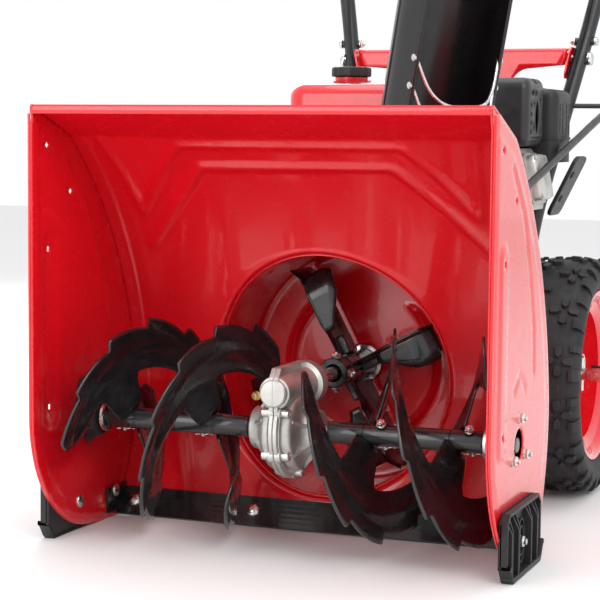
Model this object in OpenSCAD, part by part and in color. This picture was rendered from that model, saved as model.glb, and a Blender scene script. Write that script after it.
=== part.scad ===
// Two-stage snow blower with a 24 inch auger housing.
// The origin is on the floor, under the middle of the machine's box.
// +Z is up, the auger housing faces -Y, and the operator stands at +Y.
// "left" and "right" are the operator's, so left is +X.
// Inside the modules, y is counted backwards from the front edge of the housing.

/* [Machine] */
// Overall length, housing front edge to grip ends
machine_len = 1455; // [1440:5:1480]

/* [Auger housing] */
// Width between the outer faces of the side plates
housing_w = 610; // [600:1:620]
// Height of the housing's top front edge
housing_h = 575; // [570:1:580]
// Thickness of the housing sheet
sheet_t = 2; // [1.5:0.25:2.5]
// Inner radius of the impeller drum
drum_r = 168; // [166:1:169]
// Rear wall of the impeller drum, from the front edge
drum_back = 430; // [430:1:431]

/* [Augers and impeller] */
// Auger axis behind the front edge
auger_y = 140; // [138:1:142]
// Height of the auger axis
auger_z = 157; // [155:1:158]
// Outer radius of the auger flights
auger_r = 138; // [134:1:139]
// Height of the impeller axis
impeller_z = 211; // [210:1:212]
// Outer radius of the impeller blades
impeller_r = 158; // [150:1:160]

/* [Wheels] */
// Wheel axle behind the front edge
axle_y = 673; // [670:1:676]
// Tyre outer radius
tyre_r = 180; // [178:1:180]
// Outer face of each tyre from the middle
tyre_out = 297; // [292:1:300]
// Tyre width
tyre_w = 106; // [100:1:108]

/* [Chute] */
// Chute axis to the left of the middle
chute_x = 100; // [98:1:101]
// Chute axis behind the front edge
chute_y = 358; // [357:1:359]
// Direction in which the chute opening faces, from straight ahead
chute_aim = 55; // [50:1:60]
// Forward lean of the chute per unit of height
chute_lean = 0.25; // [0.2:0.01:0.28]
// Height of the chute's top edge
chute_top = 850; // [840:5:860]

/* [Hidden] */
$fn = 48;

// Bolt sizes
bolt_r = 4;
nut_r = 7.5;
// Running clearance of a shaft in its bore, on the radius
run = 0.06;
// Gap kept between neighbouring moving and fixed pieces
gap = 1;
half_w = housing_w / 2;

// Housing back: upper and lower arcs in the Y-Z plane
upper_c = [-200.4, 136];
upper_r = 503.6;
upper_from = 52.6;
upper_to = 6.7;
lower_c = [22.1, 175.5];
lower_r = 278.6;
lower_from = 4;
lower_to = -38.5;
top_bend = [105, 536];
lip_h = 13;
toe_c = [170, 172];
toe_r = 170;

// Shafts
auger_shaft_r = 9.5;
auger_tube_r = 14;
impeller_shaft_r = 9.5;
hex_r = 8;
axle_r = 10;

// Gearbox: worm above, wheel below
worm_r = 13;
worm_teeth = 20;
worm_gap = impeller_z - auger_z;
wheel_pitch_r = worm_gap - 13.5;
worm_lead = 2 * PI * wheel_pitch_r / worm_teeth;
worm_len = 40;

// Friction drive
disc_z = 250;
disc_y = 560;
disc_r = 76;
friction_r = 48;
hex_y = disc_y + friction_r + 0.4;
gear_gap = sqrt(pow(axle_y - hex_y, 2) + pow(disc_z - tyre_r, 2));
pinion_teeth = 12;
gear_teeth = 60;
gear_module = 2 * gear_gap / (pinion_teeth + gear_teeth);

// Chassis and engine
chassis_x = 130;
chassis_back = 790;
chassis_low = 90;
chassis_top = 330;
crank_z = 436;
belt_cover_y = 466;
auger_belt_y = 482;
drive_belt_y = 504;
firewall_y = 520;
engine_y = 532;
crank_pulley_r = 34;
impeller_pulley_r = 88;
drive_pulley_r = 62;
tank_top = 622;
tank_back = 664;

// Chute
ring_z = 450;
ring_r = 104;
duct_r = 66;
channel_r = 68;
channel_t = 3;
channel_front = 42;
pivot_z = 812;
pivot_u = (pivot_z - ring_z) * chute_lean;

// Crank rod of the chute
worm_shaft = [217, 452, 456];
rod_top = [281, 1250, 690];

// Handlebars, right-hand side mirrored
bar_r = 12.5;
bar_wall = 1.5;
bar_low = [143, 735, 205];
bar_bend = [143, 840, 402];
bar_joint = [205, 928, 705];
bar_knee = [240, 985, 885];
bar_turn = [262, 1130, 990];
bar_level = [268, 1270, 996];
bar_end = [268, machine_len - 1, 950];
lever_pivot = [268, 1262, 1022];
grip_dir = (bar_end - bar_level) / norm(bar_end - bar_level);
grip_r = 17;
grip_run = (machine_len - grip_r - bar_level[1]) / grip_dir[1];
upper_bar = concat(smooth([bar_joint, bar_knee, bar_turn, bar_level], 4),
    [bar_level + grip_dir * 40, bar_level + grip_dir * grip_run]);
lower_bar = concat([bar_low], bend(bar_low, bar_bend, bar_joint, 60), [bar_joint]);

function arc(c, r, a0, a1, n) =
    [for (i = [0:n]) c + r * [cos(a0 + (a1 - a0) * i / n), sin(a0 + (a1 - a0) * i / n)]];
function back_pts(off) = concat(
    arc(upper_c, upper_r - off, upper_from, upper_to, 12),
    arc(lower_c, lower_r - off, lower_from, lower_to, 8));
function mirror_x(p) = [-p[0], p[1], p[2]];

// Moves a piece from the housing's own depth to the machine's frame
module row_frame() {
    translate([0, -machine_len / 2, 0]) children();
}

module both_sides() {
    children();
    mirror([1, 0, 0]) children();
}

// Extrudes a Y-Z outline along X
module yz_plate(x, t) {
    translate([x, 0, 0]) rotate([90, 0, 90]) linear_extrude(t) children();
}

// Extrudes an X-Z outline backwards along Y
module xz_plate(y, t) {
    translate([0, y + t, 0]) rotate([90, 0, 0]) linear_extrude(t) children();
}

module rod_x(x0, x1, y, z, r) {
    translate([x0, y, z]) rotate([0, 90, 0]) cylinder(h = x1 - x0, r = r);
}

module rod_y(y0, y1, x, z, r) {
    translate([x, y0, z]) rotate([-90, 0, 0]) cylinder(h = y1 - y0, r = r);
}

module block(a, b) {
    translate(a) cube(b - a);
}

// Straight round bar between two points
module bar(a, b, r) {
    v = b - a;
    translate(a) rotate([0, acos(v[2] / norm(v)), atan2(v[1], v[0])]) cylinder(h = norm(v), r = r);
}

// Closed skin over rings of m points each, counter-clockwise seen from the far end
module loft(pts, m) {
    n = len(pts) / m - 1;
    skin = [for (i = [0:n - 1]) for (k = [0:m - 1]) let (
        a = i * m + k, b = i * m + (k + 1) % m, c = a + m, d = b + m)
        for (f = [[a, c, d], [a, d, b]]) f];
    polyhedron(pts, concat(skin, [[for (k = [0:m - 1]) k]], [[for (k = [m - 1:-1:0]) n * m + k]]));
}

// Smooth curve through chosen points, with n steps between neighbours
function smooth(p, n) = concat(
    [for (i = [0:len(p) - 2]) let (
        p0 = p[max(i - 1, 0)], p1 = p[i], p2 = p[i + 1], p3 = p[min(i + 2, len(p) - 1)])
        for (k = [0:n - 1]) let (t = k / n)
        0.5 * (2 * p1 + (p2 - p0) * t + (2 * p0 - 5 * p1 + 4 * p2 - p3) * t * t
            + (3 * p1 - p0 - 3 * p2 + p3) * t * t * t)],
    [p[len(p) - 1]]);
function unit(v) = v / norm(v);

// Points round the bend at b of a bar running from a to c
function bend(a, b, c, d) = [for (t = [0:0.25:1])
    b + (1 - t) * (1 - t) * d * unit(a - b) + t * t * d * unit(c - b)];

function ring_at(p, i, r, m, side) = let (
    t = unit(p[min(i + 1, len(p) - 1)] - p[max(i - 1, 0)]),
    n1 = unit(cross(t, side)),
    n2 = cross(t, n1))
    [for (k = [0:m - 1]) p[i] + r * (cos(k * 360 / m) * n1 + sin(k * 360 / m) * n2)];

// Round cord or tube along a curve; side is any direction that the curve never takes
module sweep(p, r, m, side) {
    loft([for (i = [0:len(p) - 1]) for (q = ring_at(p, i, r, m, side)) q], m);
}

// Handlebar tube along a curve, open at both ends
module bar_tube(p) {
    n = len(p) - 1;
    bore = concat([p[0] + unit(p[0] - p[1])], [for (i = [1:n - 1]) p[i]],
        [p[n] + unit(p[n] - p[n - 1])]);
    difference() {
        sweep(p, bar_r, 16, [1, 0, 0]);
        sweep(bore, bar_r - bar_wall, 12, [1, 0, 0]);
    }
}

module hex_nut_x(x, y, z, t) {
    translate([x, y, z]) rotate([0, 90, 0]) cylinder(h = t, r = nut_r, $fn = 6);
}

// Gear outline with straight-sided teeth
module gear_outline(teeth, m, slim) {
    pitch_r = teeth * m / 2;
    tooth = 360 / teeth;
    polygon([for (i = [0:teeth - 1]) for (c = [[-0.25 + slim, -1.15], [-0.13 + slim, 0.85],
        [0.13 - slim, 0.85], [0.25 - slim, -1.15]])
        (pitch_r + c[1] * m) * [cos((i + c[0]) * tooth), sin((i + c[0]) * tooth)]]);
}

// ---------- auger housing ----------

module housing_side() {
    polygon(concat([[0, housing_h], top_bend], back_pts(0), arc(toe_c, toe_r, 270, 180, 10)));
}

module side_plate() {
    difference() {
        yz_plate(half_w - sheet_t, sheet_t) housing_side();
        rod_x(half_w - 5, half_w + 5, auger_y, auger_z, 22);
        for (p = [[44, 522], [107, 461]])
            translate([half_w - 5, p[0], p[1]]) rotate([45, 0, 0]) cube([20, 7, 7], center = true);
        for (p = [[51, 387], [53, 179]])
            translate([half_w - 5, p[0], p[1]]) cube([20, 7, 7], center = true);
        rod_x(half_w - 5, half_w + 5, 131, 39, bolt_r);
        rod_x(half_w - 5, half_w + 5, 228, 37, bolt_r);
        for (p = bearing_bolts) rod_x(half_w - 5, half_w + 5, p[0], p[1], 3);
    }
    // Outward flange along the front edge
    block([half_w, 0, toe_c[1]], [half_w + 3, sheet_t, housing_h - lip_h]);
}

bearing_bolts = [[142, 191], [169, 142], [111, 142]];

module side_plate_left() {
    color("red") row_frame() side_plate();
}

module side_plate_right() {
    color("red") row_frame() mirror([1, 0, 0]) side_plate();
}

module bucket_shell() {
    color("red") row_frame() difference() {
        yz_plate(-half_w + sheet_t, housing_w - 2 * sheet_t) polygon(concat(
            [[0, housing_h - lip_h], [0, housing_h], top_bend], back_pts(0),
            [for (i = [21:-1:0]) back_pts(sheet_t)[i]],
            [[sheet_t, housing_h - sheet_t * 1.4], [sheet_t, housing_h - lip_h]]));
        rod_y(200, 330, 0, impeller_z, drum_r);
        scraper_bolts() cylinder(h = 40, r = bolt_r, center = true);
    }
}

module bucket_space(off) {
    yz_plate(-half_w, housing_w) polygon(concat(
        [[-10, -10], [-10, housing_h], top_bend], back_pts(off), [[220, -10]]));
}

module impeller_drum() {
    color("red") row_frame() {
        difference() {
            union() {
                difference() {
                    rod_y(225, drum_back + 2.5, 0, impeller_z, drum_r + 2.5);
                    bucket_space(0);
                }
                difference() {
                    translate([chute_x, chute_y, 237]) cylinder(h = ring_z - 240, r = duct_r + 2.5);
                    bucket_space(-3);
                }
            }
            rod_y(100, drum_back, 0, impeller_z, drum_r);
            rod_y(drum_back - 5, drum_back + 5, 0, impeller_z, 26);
            translate([chute_x, chute_y, 300]) cylinder(h = 200, r = duct_r);
        }
        // Flange that the chute turns on
        translate([chute_x, chute_y, ring_z - 4]) difference() {
            cylinder(h = 3, r = ring_r - 2);
            translate([0, 0, -1]) cylinder(h = 5, r = duct_r);
        }
        // Bracket of the chute worm
        difference() {
            union() {
                block([158, 318, ring_z - 12], [229, 406, ring_z - 7]);
                for (y = [318, 398]) block([206, y, ring_z - 12], [229, y + 8, ring_z + 18]);
            }
            rod_y(300, 420, worm_shaft[0], worm_shaft[2], 6 + run);
        }
        // Raised stiffening ring on the rear wall
        difference() {
            rod_y(drum_back - 6, drum_back, 0, impeller_z, 114);
            rod_y(drum_back - 7, drum_back + 1, 0, impeller_z, 106);
            block([-120, drum_back - 7, impeller_z + 85], [120, drum_back + 1, impeller_z + 130]);
        }
    }
}

// Scraper bar, bent to the foot of the back panel and bolted to its inner face
scraper_in = sheet_t + 0.6;
scraper_t = 4;

// Stands children at the bar's bolts, with Z pointing out of the back panel
module scraper_bolts() {
    for (x = [-277, -95, 95, 277])
        translate([x, lower_c[0], lower_c[1]]) rotate([-124.5, 0, 0])
            translate([0, 0, lower_r]) children();
}

module scraper_bar() {
    color("black") row_frame() {
        difference() {
            yz_plate(-half_w + 3, housing_w - 6) polygon(concat(
                arc(lower_c, lower_r - scraper_in, -39.2, -30.2, 6),
                arc(lower_c, lower_r - scraper_in - scraper_t, -30.2, -39.2, 6)));
            scraper_bolts() cylinder(h = 40, r = bolt_r, center = true);
        }
        both_sides() intersection() {
            block([half_w - 7, 205, 8], [half_w - 3, 262, 44]);
            rod_x(half_w - 8, half_w, lower_c[0], lower_c[1], lower_r - scraper_in - 2);
        }
    }
}

module bolts() {
    color("silver") row_frame() {
        both_sides() {
            // Bearing nuts, skid bolt and scraper end bolt
            for (p = bearing_bolts) {
                rod_x(half_w - 6, half_w + 7, p[0], p[1], 3);
                rod_x(half_w, half_w + 1.5, p[0], p[1], 8);
                hex_nut_x(half_w + 1.5, p[0], p[1], 5);
            }
            rod_x(half_w - 7, half_w + 13, 131, 39, bolt_r);
            rod_x(half_w - 7, half_w - sheet_t, 131, 39, 9);
            hex_nut_x(half_w + 5, 131, 39, 6);
            rod_x(half_w - 3, half_w + 4, 228, 37, bolt_r);
            hex_nut_x(half_w, 228, 37, 5);
        }
        // Scraper carriage bolts
        scraper_bolts() {
            translate([0, 0, -scraper_in - scraper_t]) cylinder(h = 18, r = bolt_r);
            translate([0, 0, -scraper_in - scraper_t - 3.3]) cylinder(h = 3, r = 9);
            cylinder(h = 5, r = 8, $fn = 6);
        }
        // Gearbox cap bolts
        for (a = cap_angles) for (s = [-1, 1])
            rod_x(s > 0 ? 6 : -16, s > 0 ? 16 : -6, auger_y + 55 * cos(a), auger_z + 55 * sin(a), 3.5);
        // Handlebar bolts
        both_sides() for (p = [[750, 232], [780, 290]])
            rod_x(chassis_x - 10, 164, p[0], p[1], 4);
    }
}

module bearings() {
    color("#202020") row_frame() {
        both_sides() difference() {
            union() {
                rod_x(half_w - 34, half_w - sheet_t, auger_y, auger_z, 26);
                yz_plate(half_w - 8, 6) polygon([for (a = [90:120:330])
                    [auger_y + 52 * cos(a), auger_z + 52 * sin(a)]]);
            }
            rod_x(half_w - 40, half_w + 5, auger_y, auger_z, auger_shaft_r + run);
            for (p = bearing_bolts) rod_x(half_w - 20, half_w + 5, p[0], p[1], 3.2);
        }
        // Flanged ball bearing of the impeller shaft
        difference() {
            union() {
                rod_y(drum_back - 2, drum_back + 16, 0, impeller_z, 25.5);
                rod_y(drum_back + 2.5, drum_back + 5, 0, impeller_z, 40);
            }
            rod_y(drum_back - 10, drum_back + 30, 0, impeller_z, impeller_shaft_r + run);
        }
    }
}

// ---------- gearbox, augers, impeller ----------

cap_angles = [150:60:390];

module gearbox_form(grow) {
    rod_x(-18 + -grow, 18 + grow, auger_y, auger_z, 50 + grow);
    rod_x(-48, 43, auger_y, auger_z, 24 + grow);
    rod_y(auger_y - 62 - grow, auger_y + 70, 0, impeller_z, 20 + grow);
    rod_y(auger_y + 40, auger_y + 62, 0, impeller_z, 26 + grow);
}

module gearbox_half(side) {
    difference() {
        union() {
            gearbox_form(4);
            rod_x(-6, 6, auger_y, auger_z, 62);
            yz_plate(-6, 12) translate([auger_y - 50, impeller_z - 30]) square([100, 62]);
        }
        rod_x(-16, 16, auger_y, auger_z, 49);
        rod_y(auger_y - 48, auger_y + 48, 0, impeller_z, 17);
        rod_x(-60, 60, auger_y, auger_z, auger_shaft_r + run);
        rod_y(auger_y - 20, auger_y + 100, 0, impeller_z, impeller_shaft_r + run);
        for (a = cap_angles)
            rod_x(-20, 20, auger_y + 55 * cos(a), auger_z + 55 * sin(a), 3.6);
        block([side > 0 ? -90 : -0.05, 0, 0], [side > 0 ? 0.05 : 90, 300, 400]);
    }
}

module gearbox_case_left() {
    color("#b4b2aa") row_frame() gearbox_half(1);
}

module gearbox_case_right() {
    color("#b4b2aa") row_frame() {
        gearbox_half(-1);
        // Brass filler plug
        color("#c9a24a") translate([-14, auger_y - 36, impeller_z - 8]) rotate([0, -60, 0])
            cylinder(h = 22, r = 6, $fn = 6);
    }
}

module worm_wheel() {
    color("#b08d4a") row_frame() difference() {
        yz_plate(-7, 14) translate([auger_y, auger_z])
            gear_outline(worm_teeth, 2 * wheel_pitch_r / worm_teeth, 0.07);
        rod_x(-20, 20, auger_y, auger_z, auger_shaft_r);
    }
}

module auger_shaft() {
    color("#303030") row_frame() {
        difference() {
            rod_x(-half_w + 1, half_w - 1, auger_y, auger_z, auger_shaft_r);
            both_sides() pin_holes();
        }
        both_sides() difference() {
            rod_x(half_w - 42, half_w - 36, auger_y, auger_z, 20);
            rod_x(half_w - 50, half_w - 20, auger_y, auger_z, auger_shaft_r - 0.5);
        }
    }
}

// Serrated flights: two helical bands a half turn apart on each side
flight_x0 = 45;
flight_sweep = 335;
flight_pitch = 235;
flight_t = 3.5;
flight_inner = 70;
arm_x = [107, 222];
pin_x = [128, 244];
pin_r = 3;

module flight(start) {
    steps = 50;
    tooth = 5;
    loft([for (i = [0:steps]) let (
        a = start + flight_sweep * i / steps,
        x = flight_x0 + flight_pitch * flight_sweep / 360 * i / steps,
        outer = auger_r - 3 * (tooth - 1 - (i + tooth - 1) % tooth))
        for (c = [[0, flight_inner], [flight_t, flight_inner], [flight_t, outer], [0, outer]])
        [x + c[0], auger_y + c[1] * cos(a), auger_z + c[1] * sin(a)]], 4);
}

// Arm that joins a flight to the tube
module flight_arm(x, a) {
    translate([x, auger_y, auger_z]) rotate([a, 0, 0]) translate([0, 10, -15])
        cube([flight_t, 68, 30]);
}

module pin_holes() {
    for (x = pin_x) translate([x, auger_y, auger_z]) rotate([30, 0, 0])
        cylinder(h = 60, r = pin_r, center = true);
}

module auger_set(turn) {
    difference() {
        union() {
            rod_x(56, half_w - 44, auger_y, auger_z, auger_tube_r);
            for (start = [turn, turn + 180]) {
                flight(start);
                for (x = arm_x) flight_arm(x, start + (x - flight_x0) * 360 / flight_pitch);
            }
        }
        rod_x(40, half_w, auger_y, auger_z, auger_shaft_r);
        pin_holes();
    }
}

module auger_left() {
    color("#151515") row_frame() auger_set(129);
}

module auger_right() {
    color("#151515") row_frame() mirror([1, 0, 0]) auger_set(40);
}

module shear_pins() {
    color("silver") row_frame() both_sides() for (x = pin_x)
        translate([x, auger_y, auger_z]) rotate([30, 0, 0]) {
            cylinder(h = 44, r = pin_r, center = true);
            translate([0, 0, 19]) cylinder(h = 4, r = 6, $fn = 6);
            translate([0, 0, -19]) rotate([0, 90, 0]) cylinder(h = 16, r = 1.2, center = true);
        }
}

module impeller_shaft() {
    color("#8a8a8a") row_frame() {
        rod_y(auger_y - 46, auger_belt_y + 12, 0, impeller_z, impeller_shaft_r);
        // Worm thread
        translate([0, auger_y + worm_len / 2, impeller_z]) rotate([90, 0, 0])
            linear_extrude(height = worm_len, twist = 360 * worm_len / worm_lead, slices = 36)
                rotate(90 + 180 * worm_len / worm_lead) polygon([for (a = [0:36:324])
                    (a < 90 || a > 270 ? worm_r : worm_r - 3.2) * [cos(a), sin(a)]]);
    }
}

module impeller() {
    color("#1c1c1c") row_frame() {
        difference() {
            rod_y(300, 424, 0, impeller_z, 21);
            rod_y(290, 430, 0, impeller_z, impeller_shaft_r);
        }
        for (a = [28:90:298]) translate([0, 0, impeller_z]) rotate([0, -a, 0]) {
            difference() {
                block([18, 336, -2], [impeller_r - 14, 418, 2]);
                block([40, 330, -5], [70, 352, 5]);
            }
            translate([impeller_r - 14, 336, -2]) rotate([0, -35, 0]) cube([16, 82, 4]);
            block([18, 360, -14], [46, 394, -2]);
        }
    }
}

module vee_pulley(y, w, r) {
    difference() {
        rod_y(y - w / 2, y + w / 2, 0, 0, r);
        translate([0, y, 0]) rotate([-90, 0, 0]) rotate_extrude()
            polygon([[r - 11, -3], [r + 1, -6.5], [r + 1, 6.5], [r - 11, 3]]);
    }
}

module impeller_pulley() {
    color("#4a4a4a") row_frame() difference() {
        translate([0, 0, impeller_z]) vee_pulley(auger_belt_y, 17, impeller_pulley_r);
        rod_y(440, 510, 0, impeller_z, impeller_shaft_r);
        for (a = [0:72:288])
            rod_y(440, 510, 52 * cos(a), impeller_z + 52 * sin(a), 15);
    }
}

module engine_pulleys() {
    color("#5a5a5a") row_frame() translate([0, 0, crank_z]) {
        rod_y(auger_belt_y - 8, 720, 0, 0, 9);
        vee_pulley(auger_belt_y, 17, crank_pulley_r);
        vee_pulley(drive_belt_y, 17, crank_pulley_r - 4);
    }
}

// Belt as a loop round two pulleys whose middles are at (0, z0) and (0, z1)
module belt_loop(y, z0, r0, z1, r1) {
    w = 7.2;
    difference() {
        xz_plate(y - w / 2, w) hull() {
            translate([0, z0]) circle(r = r0, $fn = 64);
            translate([0, z1]) circle(r = r1, $fn = 64);
        }
        xz_plate(y - w, w * 2) hull() {
            translate([0, z0]) circle(r = r0 - 6, $fn = 64);
            translate([0, z1]) circle(r = r1 - 6, $fn = 64);
        }
    }
}

module belts() {
    color("#1a1a1a") row_frame() {
        belt_loop(auger_belt_y, crank_z, crank_pulley_r - 2, impeller_z, impeller_pulley_r - 2);
        belt_loop(drive_belt_y, crank_z, crank_pulley_r - 6, disc_z, drive_pulley_r - 2);
    }
}

module belt_cover() {
    color("#151515") row_frame() difference() {
        cover_form(0, belt_cover_y);
        cover_form(3, belt_cover_y + 3);
        rod_y(belt_cover_y - 5, belt_cover_y + 5, 0, impeller_z, 14);
    }
}

module cover_form(inset, y0) {
    w = 124 - inset;
    xz_plate(y0, firewall_y - 0.5 - y0) polygon([
        [-w, 112 + inset], [-w, 400], [-60 + inset * 0.6, 488 - inset],
        [60 - inset * 0.6, 488 - inset], [w, 400], [w, 112 + inset]]);
}

idler_pins = [[-108, 262], [108, 285]];
idler_wheels = [[-98, 345], [85, 345]];

module idler_arm(k, y) {
    p = idler_pins[k];
    q = idler_wheels[k];
    difference() {
        union() {
            rod_y(y - 1, y + 4, p[0], p[1], 11);
            rod_y(y, y + 3, q[0], q[1], 11);
            translate([p[0], y, p[1]]) rotate([0, 90 - atan2(q[1] - p[1], q[0] - p[0]), 0])
                translate([-8, 0, 0]) cube([16, 3, norm(q - p)]);
        }
        rod_y(y - 5, y + 8, p[0], p[1], 5 + run);
    }
    rod_y(y - 18, y, q[0], q[1], 4);
}

module idler_pulley(k, y, r) {
    q = idler_wheels[k];
    difference() {
        translate([q[0], 0, q[1]]) vee_groove(y, 14, r);
        rod_y(y - 20, y + 20, q[0], q[1], 4 + run);
    }
}

module vee_groove(y, w, r) {
    translate([0, y - w / 2, 0]) rotate([-90, 0, 0]) rotate_extrude() polygon([
        [0, 0], [r, 0], [r, 1.5], [r - 3, 2.5], [r - 3, w - 2.5], [r, w - 1.5], [r, w], [0, w]]);
}

module auger_idler_arm() {
    color("#6a6a6a") row_frame() idler_arm(0, auger_belt_y + 8.5);
}

module auger_idler_pulley() {
    color("#303030") row_frame() idler_pulley(0, auger_belt_y, 22);
}

module drive_idler_arm() {
    color("#6a6a6a") row_frame() idler_arm(1, drive_belt_y + 8.5);
}

module drive_idler_pulley() {
    color("#303030") row_frame() idler_pulley(1, drive_belt_y, 20);
}

// ---------- chassis and friction drive ----------

module chassis_box() {
    color("#161616") row_frame() {
        difference() {
            union() {
                both_sides() yz_plate(chassis_x - 2.5, 2.5) polygon([
                    [drum_back + 2.5, 104], [drum_back + 2.5, 318], [firewall_y, 318],
                    [firewall_y, chassis_top], [chassis_back, chassis_top],
                    [chassis_back, chassis_low], [firewall_y, chassis_low]]);
                both_sides() block([chassis_x - 22, drum_back + 2.5, 130],
                    [chassis_x, drum_back + 5, 290]);
                block([-chassis_x, firewall_y, chassis_low], [chassis_x, firewall_y + 3, chassis_top]);
                block([-chassis_x, chassis_back - 3, chassis_low],
                    [chassis_x, chassis_back, chassis_top]);
                block([-chassis_x, firewall_y, chassis_top - 3],
                    [chassis_x, chassis_back, chassis_top]);
                // Bottom cover
                block([-chassis_x + 3, firewall_y + 10, chassis_low - 2],
                    [chassis_x - 3, chassis_back - 10, chassis_low]);
                // Axle bushes and shaft bearings
                both_sides() rod_x(chassis_x - 14, chassis_x + 6, axle_y, tyre_r, 17);
                both_sides() rod_x(chassis_x - 8, chassis_x + 3, hex_y, disc_z, 14);
                rod_y(firewall_y - 2, firewall_y + 14, 0, disc_z, 20);
                // Studs that the idler arms turn on
                rod_y(auger_belt_y + 4, firewall_y, idler_pins[0][0], idler_pins[0][1], 5);
                rod_y(drive_belt_y + 4, firewall_y, idler_pins[1][0], idler_pins[1][1], 5);
            }
            rod_x(-200, 200, axle_y, tyre_r, axle_r + run);
            rod_x(-200, 200, hex_y, disc_z, 7 + run);
            rod_y(firewall_y - 10, firewall_y + 20, 0, disc_z, 10 + run);
            both_sides() for (p = [[750, 232], [780, 290]])
                rod_x(100, 160, p[0], p[1], 4);
        }
    }
}

module drive_disc() {
    color("#b0b0b0") row_frame() translate([0, 0, disc_z]) {
        rod_y(disc_y - 8, disc_y, 0, 0, disc_r);
        rod_y(drive_belt_y - 9, disc_y - 8, 0, 0, 10);
        difference() {
            vee_pulley(drive_belt_y, 17, drive_pulley_r);
            for (a = [0:72:288]) rod_y(490, 520, 36 * cos(a), 36 * sin(a), 9);
        }
    }
}

module friction_wheel() {
    color("#202020") row_frame() difference() {
        union() {
            rod_x(-6, 6, hex_y, disc_z, friction_r);
            rod_x(-20, 20, hex_y, disc_z, 18);
        }
        translate([-30, hex_y, disc_z]) rotate([0, 90, 0]) cylinder(h = 60, r = hex_r + 0.3, $fn = 6);
    }
}

module hex_shaft() {
    color("#9a9a9a") row_frame() {
        translate([-112, hex_y, disc_z]) rotate([0, 90, 0]) cylinder(h = 224, r = hex_r, $fn = 6);
        rod_x(-135, 135, hex_y, disc_z, 7);
        difference() {
            yz_plate(92, 14) translate([hex_y, disc_z]) rotate(mesh_turn)
                gear_outline(pinion_teeth, gear_module, 0.02);
            rod_x(80, 120, hex_y, disc_z, 6);
        }
    }
}

// Turns the pinion so that its tooth meets a gap of the gear
gear_dir = atan2(disc_z - tyre_r, hex_y - axle_y);
mesh_turn = gear_dir + 180 + 15 + 5 * (gear_dir - 6 * floor(gear_dir / 6));

module axle() {
    color("#8c8c8c") row_frame() {
        rod_x(-tyre_out - 8, tyre_out + 8, axle_y, tyre_r, axle_r);
        difference() {
            yz_plate(93, 12) translate([axle_y, tyre_r]) gear_outline(gear_teeth, gear_module, 0.02);
            rod_x(80, 120, axle_y, tyre_r, axle_r - 1);
            for (a = [0:60:300]) rod_x(80, 120, axle_y + 52 * cos(a), tyre_r + 52 * sin(a), 18);
        }
        rod_x(86, 112, axle_y, tyre_r, 22);
        both_sides() {
            // Lynch pin and its ring
            translate([tyre_out - 32, axle_y, tyre_r]) cylinder(h = 50, r = 3, center = true);
            translate([tyre_out - 32, axle_y, tyre_r + 14]) rotate([0, 90, 0])
                rotate_extrude() translate([16, 0]) circle(r = 1.5, $fn = 16);
        }
    }
}

module wheel_rims() {
    color("red") row_frame() both_sides() difference() {
        translate([tyre_out - tyre_w, axle_y, tyre_r]) rotate([0, 90, 0]) rotate_extrude($fn = 72)
            polygon([[15, 6], [15, 66], [18, 66], [18, 40], [64, 34], [92, 46], [96, 84],
                [114, 88], [128, 98], [128, 95], [116, 84], [99, 80], [99, 26],
                [116, 22], [128, 11], [128, 8], [114, 18], [96, 22], [95, 40], [64, 28],
                [18, 34], [18, 6]]);
        translate([tyre_out - 32 - 14, axle_y, tyre_r]) cylinder(h = 1, r = 1);
    }
}

module tyres() {
    color("#1b1b1b") row_frame() both_sides()
        translate([tyre_out - tyre_w, axle_y, tyre_r]) rotate([0, 90, 0]) rotate_extrude($fn = 72)
            polygon([[128.3, 12], [132, 6], [150, 0], [166, 4], [176, 14], [180, 28],
                [180, 78], [176, 92], [166, 102], [150, 106], [132, 100], [128.3, 94],
                [134, 94], [150, 98], [162, 92], [168, 76], [168, 30], [162, 14],
                [150, 8], [134, 12]]);
}

module skid_shoe() {
    difference() {
        union() {
            yz_plate(half_w + 0.3, 4) polygon(concat([[48, 78], [58, 88], [204, 88], [214, 78]],
                [[214, 20]], [[196, 0], [66, 0], [48, 20]]));
            block([half_w + 0.3, 66, 0], [half_w + 17, 196, 7]);
            for (y = [60, 92, 168, 200])
                block([half_w + 0.3, y - 2, 5], [half_w + 15, y + 2, 82]);
        }
        for (z = [30, 50]) rod_x(half_w - 5, half_w + 30, 131, z, bolt_r + 0.5);
        block([half_w - 5, 131 - bolt_r - 0.5, 30], [half_w + 30, 131 + bolt_r + 0.5, 50]);
    }
}

module skid_shoe_left() {
    color("black") row_frame() skid_shoe();
}

module skid_shoe_right() {
    color("black") row_frame() mirror([1, 0, 0]) skid_shoe();
}

// ---------- engine ----------

module crankcase() {
    color("#c4c4c0") row_frame() difference() {
        union() {
            block([-88, engine_y, 338], [88, 690, 500]);
            block([-100, engine_y + 4, chassis_top + 0.2], [100, 686, 340]);
            rod_y(engine_y - 8, engine_y, 0, crank_z, 62);
            translate([60, 606, 448]) rotate([0, 78, 0]) cylinder(h = 101.9, r = 50);
            // Oil filler boss
            translate([-60, engine_y + 20, 360]) rotate([90, 0, 0]) cylinder(h = 40, r = 13);
        }
        rod_y(500, 760, 0, crank_z, 9 + run);
        rod_y(engine_y + 14, 676, 0, crank_z, 58);
        exhaust_pipe();
    }
}

module exhaust_pipe() {
    translate([130, 600, 508]) cylinder(h = 28, r = 14);
}

module cylinder_head() {
    color("#b9b9b6") row_frame() translate([160, 606, 468]) rotate([0, -12, 0]) {
        for (x = [0:9:36]) block([x, -58, -46], [x + 3.5, 44, 46]);
        block([0, -44, -38], [44, 44, 38]);
        // Valve cover
        block([44, -36, -34], [60, 36, 34]);
    }
}

module muffler() {
    color("#55524e") row_frame() {
        difference() {
            block([72, 560, 536], [190, 634, 612]);
            block([74, 562, 538], [188, 632, 610]);
        }
        exhaust_pipe();
    }
}

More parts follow.
